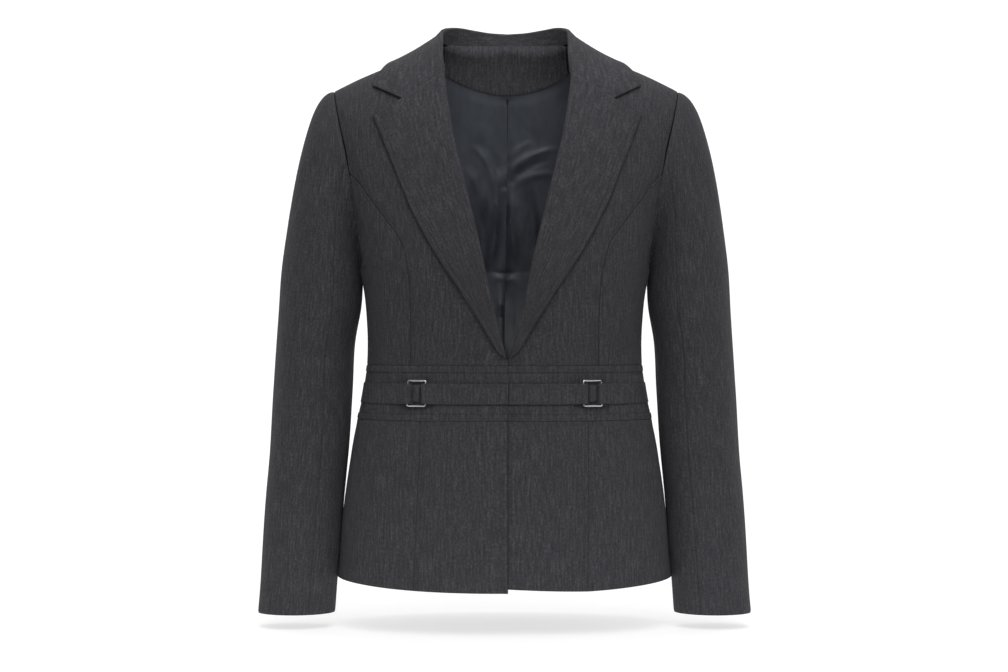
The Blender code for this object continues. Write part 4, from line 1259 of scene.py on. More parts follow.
# ---------------------------------------------------------------- waistband and skirt
@dataclass(frozen=True)
class Waistband:
    """The shaped band with a tuck along its upper and lower edges."""

    top: float = -0.372
    foot: float = -0.433
    tuck_top: float = -0.379
    tuck_foot: float = -0.427
    tuck_rise: float = 0.0006
    step: float = 0.0004
    under_reach: float = -0.018
    belt_top: float = -0.3918
    belt_foot: float = -0.4148
    press: Triple = (0.0003, 0.0009, 0.0005)     # depth, distance and width of a tuck's line
    buckle_x: float = 0.0963
    puff: Pair = (0.0052, 0.0046)     # height and half-width of the cloth puffed into a buckle
    puff_fade: float = 0.004
    fine_x: Pair = (0.084, 0.110)     # columns lie close between these distances

    def rise(self, z: Array) -> Array:
        """Rise of the tucks: up within them, down sharply at their inner edges with a pressed line.

        Args:
            z: heights.

        Returns:
            Metres to move each point outwards.
        """
        above = ease(self.tuck_top - self.step, self.tuck_top, z)
        below = 1 - ease(self.tuck_foot, self.tuck_foot + self.step, z)
        depth, away, width = self.press
        line = np.exp(-(((z - self.tuck_top + away) / width) ** 2))
        line = line + np.exp(-(((z - self.tuck_foot - away) / width) ** 2))
        return self.tuck_rise * (above + below) - depth * line

    def heights(self) -> Array:
        """Rows of the band: even, and tight where the tucks end.

        Returns:
            Rising heights.
        """
        even = np.arange(self.foot + FORM.seam_half, self.top - LAP, 0.0024)
        near = np.array([-0.0014, -0.0009, -0.0005, -0.0002, 0.0, 0.0002, 0.0006])
        edge = np.array([0.0, 0.0004, 0.0009])
        parts = [even, self.tuck_top + near, self.tuck_foot - near, self.foot + FORM.seam_half + edge,
                 self.top - LAP - edge]
        return np.unique(np.round(np.concatenate(parts), 6))

    def build(self, wardrobe: Wardrobe) -> None:
        """Hang the two fronts and the back of the band.

        Args:
            wardrobe: the finishes.
        """
        z = self.heights()[:, None]
        ends = pressed(z - z[0], EDGE_DIP) + pressed(z[-1] - z, EDGE_DIP)
        for side in Side:
            start = self.under_reach if side is Side.LEFT else -FORM.closing
            fine, coarse = self.fine_x
            reach = smooth(FORM.torso, 1, z) * np.sin(FORM.side_turn) ** (2 / FORM.round_power)
            near = np.concatenate([start + np.array([0.0, 0.0004, 0.0009, 0.0016]),
                                   np.arange(start + 0.003, fine, 0.003), np.arange(fine, coarse, 0.001)])[None, :]
            across = np.sin(np.linspace(0, np.pi / 2, 40)) ** (2 / FORM.round_power)
            x = np.concatenate([near + 0 * z, coarse + (reach - coarse) * across], axis=1) * side.value
            zz = z + 0 * x
            points, normals = FORM.place(x, zz)
            between = np.exp(-(((np.abs(x) - self.buckle_x) / self.puff[1]) ** 6))
            between = between * ease(self.belt_foot, self.belt_foot + self.puff_fade, zz)
            puff = self.puff[0] * between * (1 - ease(self.belt_top - self.puff_fade, self.belt_top, zz))
            lift = self.rise(zz) + pressed(np.abs(x - x[:, :1]), EDGE_DIP) + ends + puff
            if side is Side.RIGHT:
                lift = lift + FORM.over_rise(x, zz)
            name = f"waistband_front_{side.word}"
            grain = np.stack([x, zz], axis=-1)
            hang(Shell(name, points + normals * lift[..., None], normals, grain, CLOTH), wardrobe.suiting, name)
        turns = np.linspace(-FORM.side_turn, FORM.side_turn, 150)[None, :] + 0 * z
        zz = z + 0 * turns
        flip = np.stack([np.sign(turns), np.ones_like(turns), np.ones_like(turns)], axis=-1)
        points = FORM.point(np.abs(turns), zz - FORM.chest_z, True) * flip
        normals = FORM.outward(np.abs(turns), zz - FORM.chest_z, True) * flip
        outer = points + normals * (self.rise(zz) + ends)[..., None]
        grain = np.stack([turns * FORM.girth_radius, zz], axis=-1)
        hang(Shell("waistband_back", outer, normals, grain, CLOTH), wardrobe.suiting, "waistband_back")


@dataclass(frozen=True)
class Skirt:
    """The flared skirt under the band: centre fronts, side fronts and backs."""

    band_foot: float = -0.433
    under_reach: float = -0.018
    seam_right: Pair = (0.0935, 0.1010)
    seam_left: Pair = (0.0935, 0.0925)
    hem_drop: float = 0.0033         # how far the hem hangs down in the middle
    hem_lift: float = 0.0085         # and how much less at the side seam
    hem_half: float = 0.1922
    hem_power: float = 2.6
    under_lift: Pair = (0.0046, 0.0925)     # how far the under front rises, from what distance

    def hemmed(self, points: Array, under: bool = False) -> Array:
        """Curve the hem: lower in the middle than at the sides, and the under front rising to its edge.

        Args:
            points: points of the skirt.
            under: whether they belong to the front that lies under the other.

        Returns:
            The points moved up or down, by the square of their share of the skirt's length.
        """
        down = np.clip((self.band_foot - points[..., 2]) / (self.band_foot - FORM.hem_z), 0, 1) ** 2
        share = np.clip(np.abs(points[..., 0]) / self.hem_half, 0, 1)
        drop = -self.hem_drop + self.hem_lift * share**self.hem_power
        height, reach = self.under_lift
        lifted = height * (1 - np.clip(points[..., 0] / reach, 0, 1)) if under else 0.0
        moved = points.copy()
        moved[..., 2] += (drop + lifted) * down
        return moved

    def build(self, wardrobe: Wardrobe, stitching: Stitching) -> None:
        """Hang the six panels and topstitch the front seams and the closing edge.

        Args:
            wardrobe: the finishes.
            stitching: the topstitching to use.
        """
        lines = []
        for side in Side:
            over = side is Side.RIGHT
            head = self.band_foot - FORM.seam_half - FORM.chest_z
            foot = FORM.hem_z - FORM.chest_z
            rows = rows_between(foot, head)
            seam_sizes = self.seam_left if side is Side.LEFT else self.seam_right
            seam = np.interp(rows + FORM.chest_z, [FORM.hem_z, self.band_foot], seam_sizes[::-1])
            edge = self.under_reach if side is Side.LEFT else -FORM.closing
            last = np.full_like(rows, FORM.side_turn)
            centre = Patch(f"skirt_front_centre_{side.word}", side, rows,
                           FORM.turn_of(np.full_like(rows, edge), rows), FORM.turn_of(seam, rows), over=over,
                           stitch_high=True, stitch_low=over)
            flank = Patch(f"skirt_front_side_{side.word}", side, rows, FORM.turn_of(seam, rows), last)
            behind = Patch(f"skirt_back_{side.word}", side, rows, np.zeros_like(rows), last, back=True)
            for patch in (centre, flank, behind):
                shell = patch.shell()
                shell.outer = self.hemmed(shell.outer, patch is centre and not over)
                hang(shell, wardrobe.suiting, patch.name)
            inset = stitching.inset / centre.widths()
            insets = [1 - inset, inset] if over else [1 - inset]
            for inset in insets:
                path, normals = centre.at(inset[:, None])
                lines.append((self.hemmed(path[2:-2, 0], not over), normals[2:-2, 0]))
        stitching.piece("topstitching_skirt", lines, wardrobe.thread)


# ---------------------------------------------------------------- sleeves
@dataclass(frozen=True)
class Sleeves:
    """Upper and under sleeves, set into the armholes over a soft quarter turn."""

    cuff_z: float = -0.653
    head_drop: Pair = (0.085, 0.035)
    shift: float = 0.0003
    clear: float = 0.0002
    split: float = 5 / 8
    around: float = 0.052            # turns times this are the map's metres round the arm
    seam_radius: float = 0.05        # the arm's radius at the seams, for their gap
    head_share: float = 0.17
    seam_dip: float = 0.0006
    head_dip: Pair = (0.0002, 0.0018)       # depth and reach of the dip at the armhole
    sections: Table = (              # height, middle x, middle y, half-width, half-depth
        (-0.060, 0.2000, 0.0030, 0.0350, 0.0500), (-0.110, 0.2000, 0.0030, 0.0360, 0.0530),
        (-0.155, 0.2018, 0.0040, 0.0385, 0.0565), (-0.210, 0.2065, 0.0050, 0.0425, 0.0600),
        (-0.263, 0.2098, 0.0060, 0.0460, 0.0620), (-0.302, 0.2118, 0.0060, 0.0472, 0.0610),
        (-0.348, 0.2177, 0.0055, 0.0452, 0.0580), (-0.400, 0.2206, 0.0030, 0.0452, 0.0540),
        (-0.459, 0.2233, -0.0020, 0.0456, 0.0500), (-0.532, 0.2288, -0.0090, 0.0443, 0.0450),
        (-0.575, 0.2314, -0.0140, 0.0445, 0.0428), (-0.616, 0.2347, -0.0180, 0.0440, 0.0405),
        (-0.653, 0.2373, -0.0220, 0.0438, 0.0390),
    )
    relief: Relief = Relief((        # metres round the arm (0 outside, + to the front), height
        Crease((0.070, -0.100), (0.040, -0.190), 0.0080, -0.0012, 0.004),
        Crease((0.095, -0.150), (0.060, -0.235), 0.0070, 0.0010, 0.003),
        Crease((0.030, -0.110), (0.020, -0.210), 0.0100, 0.0007, 0.003),
        Crease((0.105, -0.365), (0.045, -0.345), 0.0060, -0.0013, 0.004),
        Crease((0.110, -0.395), (0.050, -0.385), 0.0065, 0.0012, 0.004),
        Crease((0.105, -0.420), (0.062, -0.405), 0.0055, -0.0010, 0.003),
        Crease((0.090, -0.450), (0.030, -0.470), 0.0080, 0.0007, 0.004),
        Crease((0.075, -0.500), (0.030, -0.540), 0.0090, -0.0006, 0.004),
        Crease((0.000, -0.480), (0.010, -0.620), 0.0110, 0.0006, 0.003),
        Crease((-0.060, -0.130), (-0.050, -0.250), 0.0090, -0.0012, 0.004),
        Crease((-0.095, -0.170), (-0.080, -0.260), 0.0070, 0.0011, 0.003),
        Crease((-0.040, -0.345), (-0.110, -0.375), 0.0065, 0.0012, 0.004),
        Crease((-0.045, -0.380), (-0.120, -0.400), 0.0070, -0.0012, 0.004),
        Crease((-0.050, -0.430), (-0.105, -0.425), 0.0065, 0.0010, 0.003),
        Crease((-0.060, -0.490), (-0.040, -0.600), 0.0100, -0.0008, 0.003),
    ), 0.0003)

    def surface(self, turns: Array, along: Array, lift: bool = True) -> Array:
        """Points of the sleeve: a quarter turn out of the armhole's edge, then level ellipses down to the cuff.

        Args:
            turns: one turn for each column; 0 is the outside of the arm, positive to the front.
            along: one share for each row, from the armhole to the cuff.
            lift: whether the creases are added.

        Returns:
            Rows x columns of points on the wearer's left.
        """
        turns = (turns + np.pi) % (2 * np.pi) - np.pi
        level = np.minimum(1 - np.abs(turns) / np.pi, FORM.top_level)
        edge_turn = FORM.armhole_turn(level)
        front = (turns >= 0)[:, None]
        edge = np.where(front, FORM.point(edge_turn, level), FORM.point(edge_turn, level, True))
        out = np.where(front, FORM.outward(edge_turn, level), FORM.outward(edge_turn, level, True))
        off = self.clear * (1 - np.cos(turns)[:, None]) / 2
        edge = edge + out * off + np.array([self.shift, 0.0, 0.0])
        arc = np.clip(along / self.head_share, 0, 1)[:, None] * np.pi / 2
        drop = self.head_drop[0] + self.head_drop[1] * np.cos(turns)
        head_z = edge[None, :, 2] - drop * (1 - np.cos(arc))
        down = np.clip((along - self.head_share) / (1 - self.head_share), 0, 1)[:, None]
        z = head_z + (self.cuff_z - head_z) * down
        share = np.sin(arc)
        wave = self.relief.lift(self.around * turns[None, :] + 0 * z, z) * share if lift else 0.0
        half_w, half_d = smooth(self.sections, 3, z) + wave, smooth(self.sections, 4, z) + wave
        x = smooth(self.sections, 1, z) + half_w * np.cos(turns)
        y = smooth(self.sections, 2, z) - half_d * np.sin(turns)
        x = edge[None, :, 0] + (x - edge[None, :, 0]) * share
        y = edge[None, :, 1] + (y - edge[None, :, 1]) * share
        return np.stack([x, y, z], axis=-1)

    def outward(self, turns: Array, along: Array) -> Array:
        """Unit vectors out of the sleeve: the cross product of small steps round and down it.

        Args:
            turns: one turn for each column.
            along: one share for each row.

        Returns:
            Rows x columns of unit vectors.
        """
        step = 2e-3
        around = self.surface(turns + step, along, False) - self.surface(turns - step, along, False)
        high, low = np.clip(along - step, 0, 1), np.clip(along + step, 0, 1)
        down = self.surface(turns, low, False) - self.surface(turns, high, False)
        return unit(np.cross(around, down)) * -1.0

    def build(self, wardrobe: Wardrobe) -> None:
        """Hang upper and under sleeve of each arm, dipping at the seams and rolled in at the cuff.

        Args:
            wardrobe: the finishes.
        """
        gap = FORM.seam_half / self.seam_radius
        split = self.split * np.pi
        arm = Spacing(0.0034).shares(0.50, low=False)[1:]
        along = np.concatenate([self.head_share * np.linspace(0, 1, 36) ** 1.15,
                                self.head_share + (1 - self.head_share) * arm])
        spans = (("upper", -split + gap, split - gap), ("under", split + gap, 2 * np.pi - split - gap))
        for word, low, high in spans:
            width = (high - low) * self.around
            share = Spacing(0.0030).shares(width)
            turns = low + (high - low) * share
            points, normals = self.surface(turns, along), self.outward(turns, along)
            middle = np.array([self.sections[-1][1], self.sections[-1][2], self.cuff_z])
            normals = normals * np.sign(np.sum(normals[-1] * (points[-1] - middle)))
            across = share * width
            lift = pressed(across, self.seam_dip) + pressed(width - across, self.seam_dip)
            length = np.abs(points[-1:, :, 2] - points[..., 2])
            lift = lift[None, :] * ease(0.0, 0.05, along)[:, None] + pressed(length, EDGE_DIP)
            lift = lift + pressed(np.linalg.norm(points - points[:1], axis=-1), *self.head_dip)
            outer = points + normals * lift[..., None]
            x, y, z = np.moveaxis(outer, -1, 0)
            mid_x, mid_y, half_w, half_d = (smooth(self.sections, k, z) for k in (1, 2, 3, 4))
            angle = np.arctan2(-((y - mid_y) / half_d), (x - mid_x) / half_w)
            angle = np.where((angle < -0.5 * self.split * np.pi) & (low > 0), angle + 2 * np.pi, angle)
            for side in Side:
                grain = np.stack([side.value * (angle * self.around + 1.0), outer[..., 2]], axis=-1)
                name = f"sleeve_{word}_{side.word}"
                shell = Shell(name, side.turn_over(outer), side.turn_over(normals), grain, CLOTH)
                hang(shell, wardrobe.suiting, name)


# ---------------------------------------------------------------- lapels and collar
@dataclass(frozen=True)
class Lapels:
    """The front facings turned out round the roll and lying on the chest."""

    roll_radius: float = 0.0034
    roll_from: float = 265.0
    roll_to: float = 100.0
    foot: float = -0.3612
    gorge_z: float = -0.0442
    rise: Pair = (0.0040, 0.0012)
    thickness: float = 0.0020
    thin: float = 0.35               # share of rise and roll radius left at the foot
    roll_steps: int = 16
    edge_dip: Pair = (0.0005, 0.0010)       # depth and reach

    def lines(self, share: Array, side: Side) -> tuple[Array, Array]:
        """Roll points and free-edge points, seen from the front, at shares of the lapel's length.

        Args:
            share: shares from the foot to the gorge.
            side: the wearer's side.

        Returns:
            Pairs of distance and height, for roll and edge.
        """
        roll_z = self.foot + (self.gorge_z - self.foot) * share
        edge_z = FORM.lapel_edge[0][0] + (FORM.lapel_edge[-1][0] - FORM.lapel_edge[0][0]) * share
        roll = smooth(FORM.roll, 1, roll_z) + side.value * FORM.closing_x(roll_z)
        pointed = ease(-0.012, 0.028, share)
        width = (smooth(FORM.lapel_edge, 1, edge_z) - smooth(FORM.roll, 1, roll_z)) * pointed
        edge = smooth(FORM.roll, 1, roll_z) + width + side.value * FORM.closing_x(edge_z)
        return np.stack([roll, roll_z], axis=-1), np.stack([edge, edge_z], axis=-1)

    def flat(self, rows: Array, share: Array, side: Side) -> tuple[Array, Array]:
        """The lapel's lying part: straight from roll to edge as seen, raised over the front.

        Args:
            rows: one share of the lapel's length for each row.
            share: rows x columns of shares from roll to edge.
            side: the wearer's side.

        Returns:
            Points and outward vectors as on the left.
        """
        roll, edge = self.lines(rows, side)
        place = roll[:, None, :] + (edge - roll)[:, None, :] * share[..., None]
        x, z = place[..., 0], place[..., 1]
        points, normals = FORM.seen(x, z)
        low, more = self.rise
        low = low * (self.thin + (1 - self.thin) * ease(0.0, 0.06, rows))[:, None]
        turn = FORM.turn_of(x, FORM.level_of(x, z))
        lift = low + more * (1 - share) ** 2 + FORM.unevenness(turn, z, False, side)
        if side is Side.RIGHT:
            lift = lift + FORM.over_rise(-x, z)
        return points + normals * lift[..., None], normals

    def shell(self, side: Side) -> Shell:
        """The whole lapel: an arc of cloth round the roll, then the lying part, dipping at its free edges.

        Args:
            side: the wearer's side.

        Returns:
            The shell, with its warp along the roll.
        """
        rows = Spacing(0.0028).shares(0.33)
        roll, edge = self.lines(rows, side)
        length = np.linalg.norm(edge - roll, axis=-1)[:, None]
        radius = self.roll_radius * (self.thin + (1 - self.thin) * ease(0.0, 0.08, rows))[:, None]
        start = np.minimum(radius / length, 0.5)
        inner = np.linspace(0, 1, 42)
        inner = np.concatenate([inner[:-3], 1 - np.array([0.05, 0.032, 0.018, 0.009, 0.0])])
        share = start + (1 - start) * inner[None, :]
        points, normals = self.flat(rows, share, side)
        beyond = (1 - share) * length
        points = points + normals * pressed(beyond, *self.edge_dip)[..., None]
        first, first_normal = points[:, 0], normals[:, 0]
        at_roll, _ = FORM.seen(roll[:, 0], roll[:, 1])
        at_start, _ = FORM.seen(*(roll + (edge - roll) * start).T)
        outward = unit(at_start - at_roll)
        centre = first - first_normal * radius
        arcs = np.radians(np.linspace(self.roll_from, self.roll_to, self.roll_steps))[None, :, None]
        turned = outward[:, None] * np.cos(arcs) + first_normal[:, None] * np.sin(arcs)
        outer = np.concatenate([centre[:, None] + radius[..., None] * turned, points], axis=1)
        facing = np.concatenate([turned, normals], axis=1)
        along, across = run_along(outer[:, self.roll_steps])[:, None], run_along(outer[70])[None, :]
        grain = np.stack([across + 0 * along + side.value * 2.3, along + 0 * across], axis=-1)
        head = along[-1] - along
        outer = outer + facing * pressed(head, EDGE_DIP)[..., None]
        # far darkens the colour near the free edges and the head as painted shade, and places the stitch groove
        far = np.concatenate([np.full((len(rows), self.roll_steps), 1.0), beyond], axis=1)
        free = np.concatenate([np.zeros((len(rows), self.roll_steps)), share > 0.60], axis=1)
        far = np.minimum(far, np.where(free > 0, head, 1.0))
        outer, facing = side.turn_over(outer), side.turn_over(facing)
        return Shell(f"lapel_{side.word}", outer, facing, grain, self.thickness, far)

    def build(self, wardrobe: Wardrobe, stitching: Stitching) -> None:
        """Hang both lapels and topstitch their free edges.

        Args:
            wardrobe: the finishes.
            stitching: the topstitching to use.
        """
        lines = []
        for side in Side:
            hang(self.shell(side), wardrobe.suiting, f"lapel_{side.word}")
            rows = np.linspace(0.03, 0.975, 150)
            roll, edge = self.lines(rows, side)
            length = np.linalg.norm(edge - roll, axis=-1)[:, None]
            path, normals = self.flat(rows, np.maximum(1 - stitching.inset / length, 0.5), side)
            lines.append((side.turn_over(path[:, 0]), side.turn_over(normals[:, 0])))
        stitching.piece("topstitching_lapels", lines, wardrobe.thread)


@dataclass(frozen=True)
class Collar:
    """Stand, fold and fall, round the neck from gorge to gorge."""

    fold: float = 0.0028
    rise: float = 0.0044
    foot_gap: float = 0.0012
    bend_from: float = 0.65
    notch_x: float = 0.1180
    notch_share: float = 0.6
    tip: Pair = (0.1500, -0.0583)
    gorge_z: float = -0.0442
    gorge_gap: float = -0.00015
    thickness: float = 0.0020
    edge_dip: Pair = (0.0005, 0.0010)       # depth and reach
    half: Table = (                  # neck seam x y, fold x y z, outer edge x y
        (0.0000, 0.0520, 0.0000, 0.0545, 0.0155, 0.0000, 0.0704),
        (0.0200, 0.0501, 0.0190, 0.0524, 0.0165, 0.0260, 0.0648),
        (0.0390, 0.0450, 0.0368, 0.0463, 0.0186, 0.0535, 0.0570),
        (0.0560, 0.0360, 0.0527, 0.0353, 0.0200, 0.0835, 0.0462),
        (0.0690, 0.0235, 0.0652, 0.0205, 0.0182, 0.1120, 0.0300),
        (0.0765, 0.0080, 0.0722, 0.0050, 0.0142, 0.1310, 0.0095),
        (0.0775, -0.0100, 0.0736, -0.0110, 0.0085, 0.1375, -0.0090),
        (0.0763, -0.0280, 0.0732, -0.0300, -0.0040, 0.1425, -0.0195),
        (0.0742, -0.0440, 0.0726, -0.0470, -0.0225, 0.1468, -0.0275),
        (0.0722, -0.0580, 0.0712, -0.0600, -0.0415, 0.1500, -0.0344),
    )

    def fall(self, half: Array, share: Array) -> tuple[Array, Array, Array, Array]:
        """The lying part of half the collar: from the fold down onto the shoulder, its end on the gorge line.

        Args:
            half: one share for each row, from the middle of the back to the gorge.
            share: columns from the fold to the outer edge.

        Returns:
            Points, the form's outward vectors, the neck seam's points and the fold's points.
        """
        knots = np.linspace(0, 1, len(self.half))
        table = np.array(self.half)
        read = [smooth(tuple(zip(knots, table[:, k])), 1, half) for k in range(table.shape[1])]
        neck_x, neck_y, fold_x, fold_y, fold_z, edge_x, edge_y = read
        base, _ = FORM.on_top(neck_x, neck_y)
        fold = np.stack([fold_x, fold_y, fold_z], axis=-1)
        x = neck_x[:, None] + (edge_x - neck_x)[:, None] * share
        y = neck_y[:, None] + (edge_y - neck_y)[:, None] * share
        start_x, start_z = float(smooth(FORM.roll, 1, self.gorge_z)), self.gorge_z
        end_z, end_x = FORM.lapel_edge[-1]
        notch_z = start_z + (end_z - start_z) * (self.notch_x - start_x) / (end_x - start_x)
        stops = [0, self.notch_share, 1]
        front_x = np.interp(share[0], stops, [start_x, self.notch_x, self.tip[0]])
        front_z = np.interp(share[0], stops, [start_z, notch_z, self.tip[1]]) + self.gorge_gap
        bend = np.clip((half - self.bend_from) / (1 - self.bend_from), 0, 1)[:, None] ** 2
        last_y = neck_y[-1] + (edge_y[-1] - neck_y[-1]) * share
        last_x = neck_x[-1] + (edge_x[-1] - neck_x[-1]) * share
        x = x + (front_x - last_x) * bend
        y = y + (-FORM.depth_at(front_x, front_z) - last_y) * bend
        ground, normals = FORM.on_top(x, y)
        settle = (1 - share[..., None]) ** 2
        points = ground + (fold - base)[:, None, :] * settle + normals * self.rise * (1 - settle)
        return points, normals, base, fold

    def build(self, wardrobe: Wardrobe, stitching: Stitching) -> None:
        """Hang the collar and topstitch its outer edge.

        Args:
            wardrobe: the finishes.
            stitching: the topstitching to use.
        """
        half = np.concatenate([np.linspace(0, 0.96, 90), [0.972, 0.982, 0.99, 0.995, 1.0]])
        last = [0.92, 0.94, 0.955, 0.97, 0.982, 0.992, 1.0]
        share = np.concatenate([np.linspace(1 / 7, 0.90, 26), last])[None, :]
        fall, normals, base, fold = self.fall(half, share)
        outward = unit((fall[:, 0] - fold) * [1.0, 1.0, 0.0])
        up = np.array([0.0, 0.0, 1.0])
        foot = base + up * self.foot_gap - outward * self.thickness
        rows = np.linspace(0, 0.86, 8)[None, :, None]
        stand = foot[:, None] + (fold - up * self.fold - foot)[:, None] * rows
        angles = np.radians(np.linspace(180.0, 80.0, 12))[None, :, None]
        centre = (fold - up * self.fold + outward * self.fold)[:, None]
        turned = outward[:, None] * np.cos(angles) + up * np.sin(angles)
        folded = centre + self.fold * turned
        down, along = np.gradient(fall, axis=1), np.gradient(fall, axis=0)
        fall_out = unit(np.cross(down, along))
        fall_out = fall_out * np.where(np.sum(fall_out * normals, axis=-1) < 0, -1.0, 1.0)[..., None]
        run = np.cumsum(np.linalg.norm(np.diff(fall, axis=1), axis=-1), axis=1)
        run = np.concatenate([np.zeros((len(half), 1)), run], axis=1)
        beyond = run[:, -1:] - run
        end = np.linalg.norm(fall - fall[-1:], axis=-1)
        fall = fall + fall_out * (pressed(beyond, *self.edge_dip) + pressed(end, EDGE_DIP))[..., None]
        outer = np.concatenate([stand, folded, fall], axis=1)
        facing = np.concatenate([0 * stand - outward[:, None], turned, fall_out], axis=1)
        flip = np.array([-1.0, 1.0, 1.0])
        outer = np.concatenate([(outer * flip)[:0:-1], outer])
        facing = np.concatenate([(facing * flip)[:0:-1], facing])
        hidden = stand.shape[1] + folded.shape[1]
        around, deep = run_along(outer[:, hidden])[:, None], run_along(outer[len(half) - 1])[None, :]
        grain = np.stack([deep + 0 * around + 5.1, around + 0 * deep], axis=-1)
        beyond = np.concatenate([beyond[:0:-1], beyond])
        # far darkens the colour near the outer edge as painted shade, and places the stitch groove
        far = np.concatenate([np.full((len(outer), hidden), 1.0), beyond], axis=1)
        shell = Shell("collar", outer, facing, grain, self.thickness, far)
        hang(shell, wardrobe.suiting, "collar")
        rows = np.linspace(0, 0.985, 120)
        line, line_out, _, _ = self.fall(rows, np.linspace(0.5, 1.0, 60)[None, :])
        gone = np.cumsum(np.linalg.norm(np.diff(line, axis=1), axis=-1)[:, ::-1], axis=1)[:, ::-1]
        pick = np.argmin(np.abs(gone - stitching.inset), axis=1)
        path, out = line[np.arange(len(rows)), pick], line_out[np.arange(len(rows)), pick]
        path = np.concatenate([(path * flip)[:0:-1], path])
        out = np.concatenate([(out * flip)[:0:-1], out])
        stitching.piece("topstitching_collar", [(path, out)], wardrobe.thread)


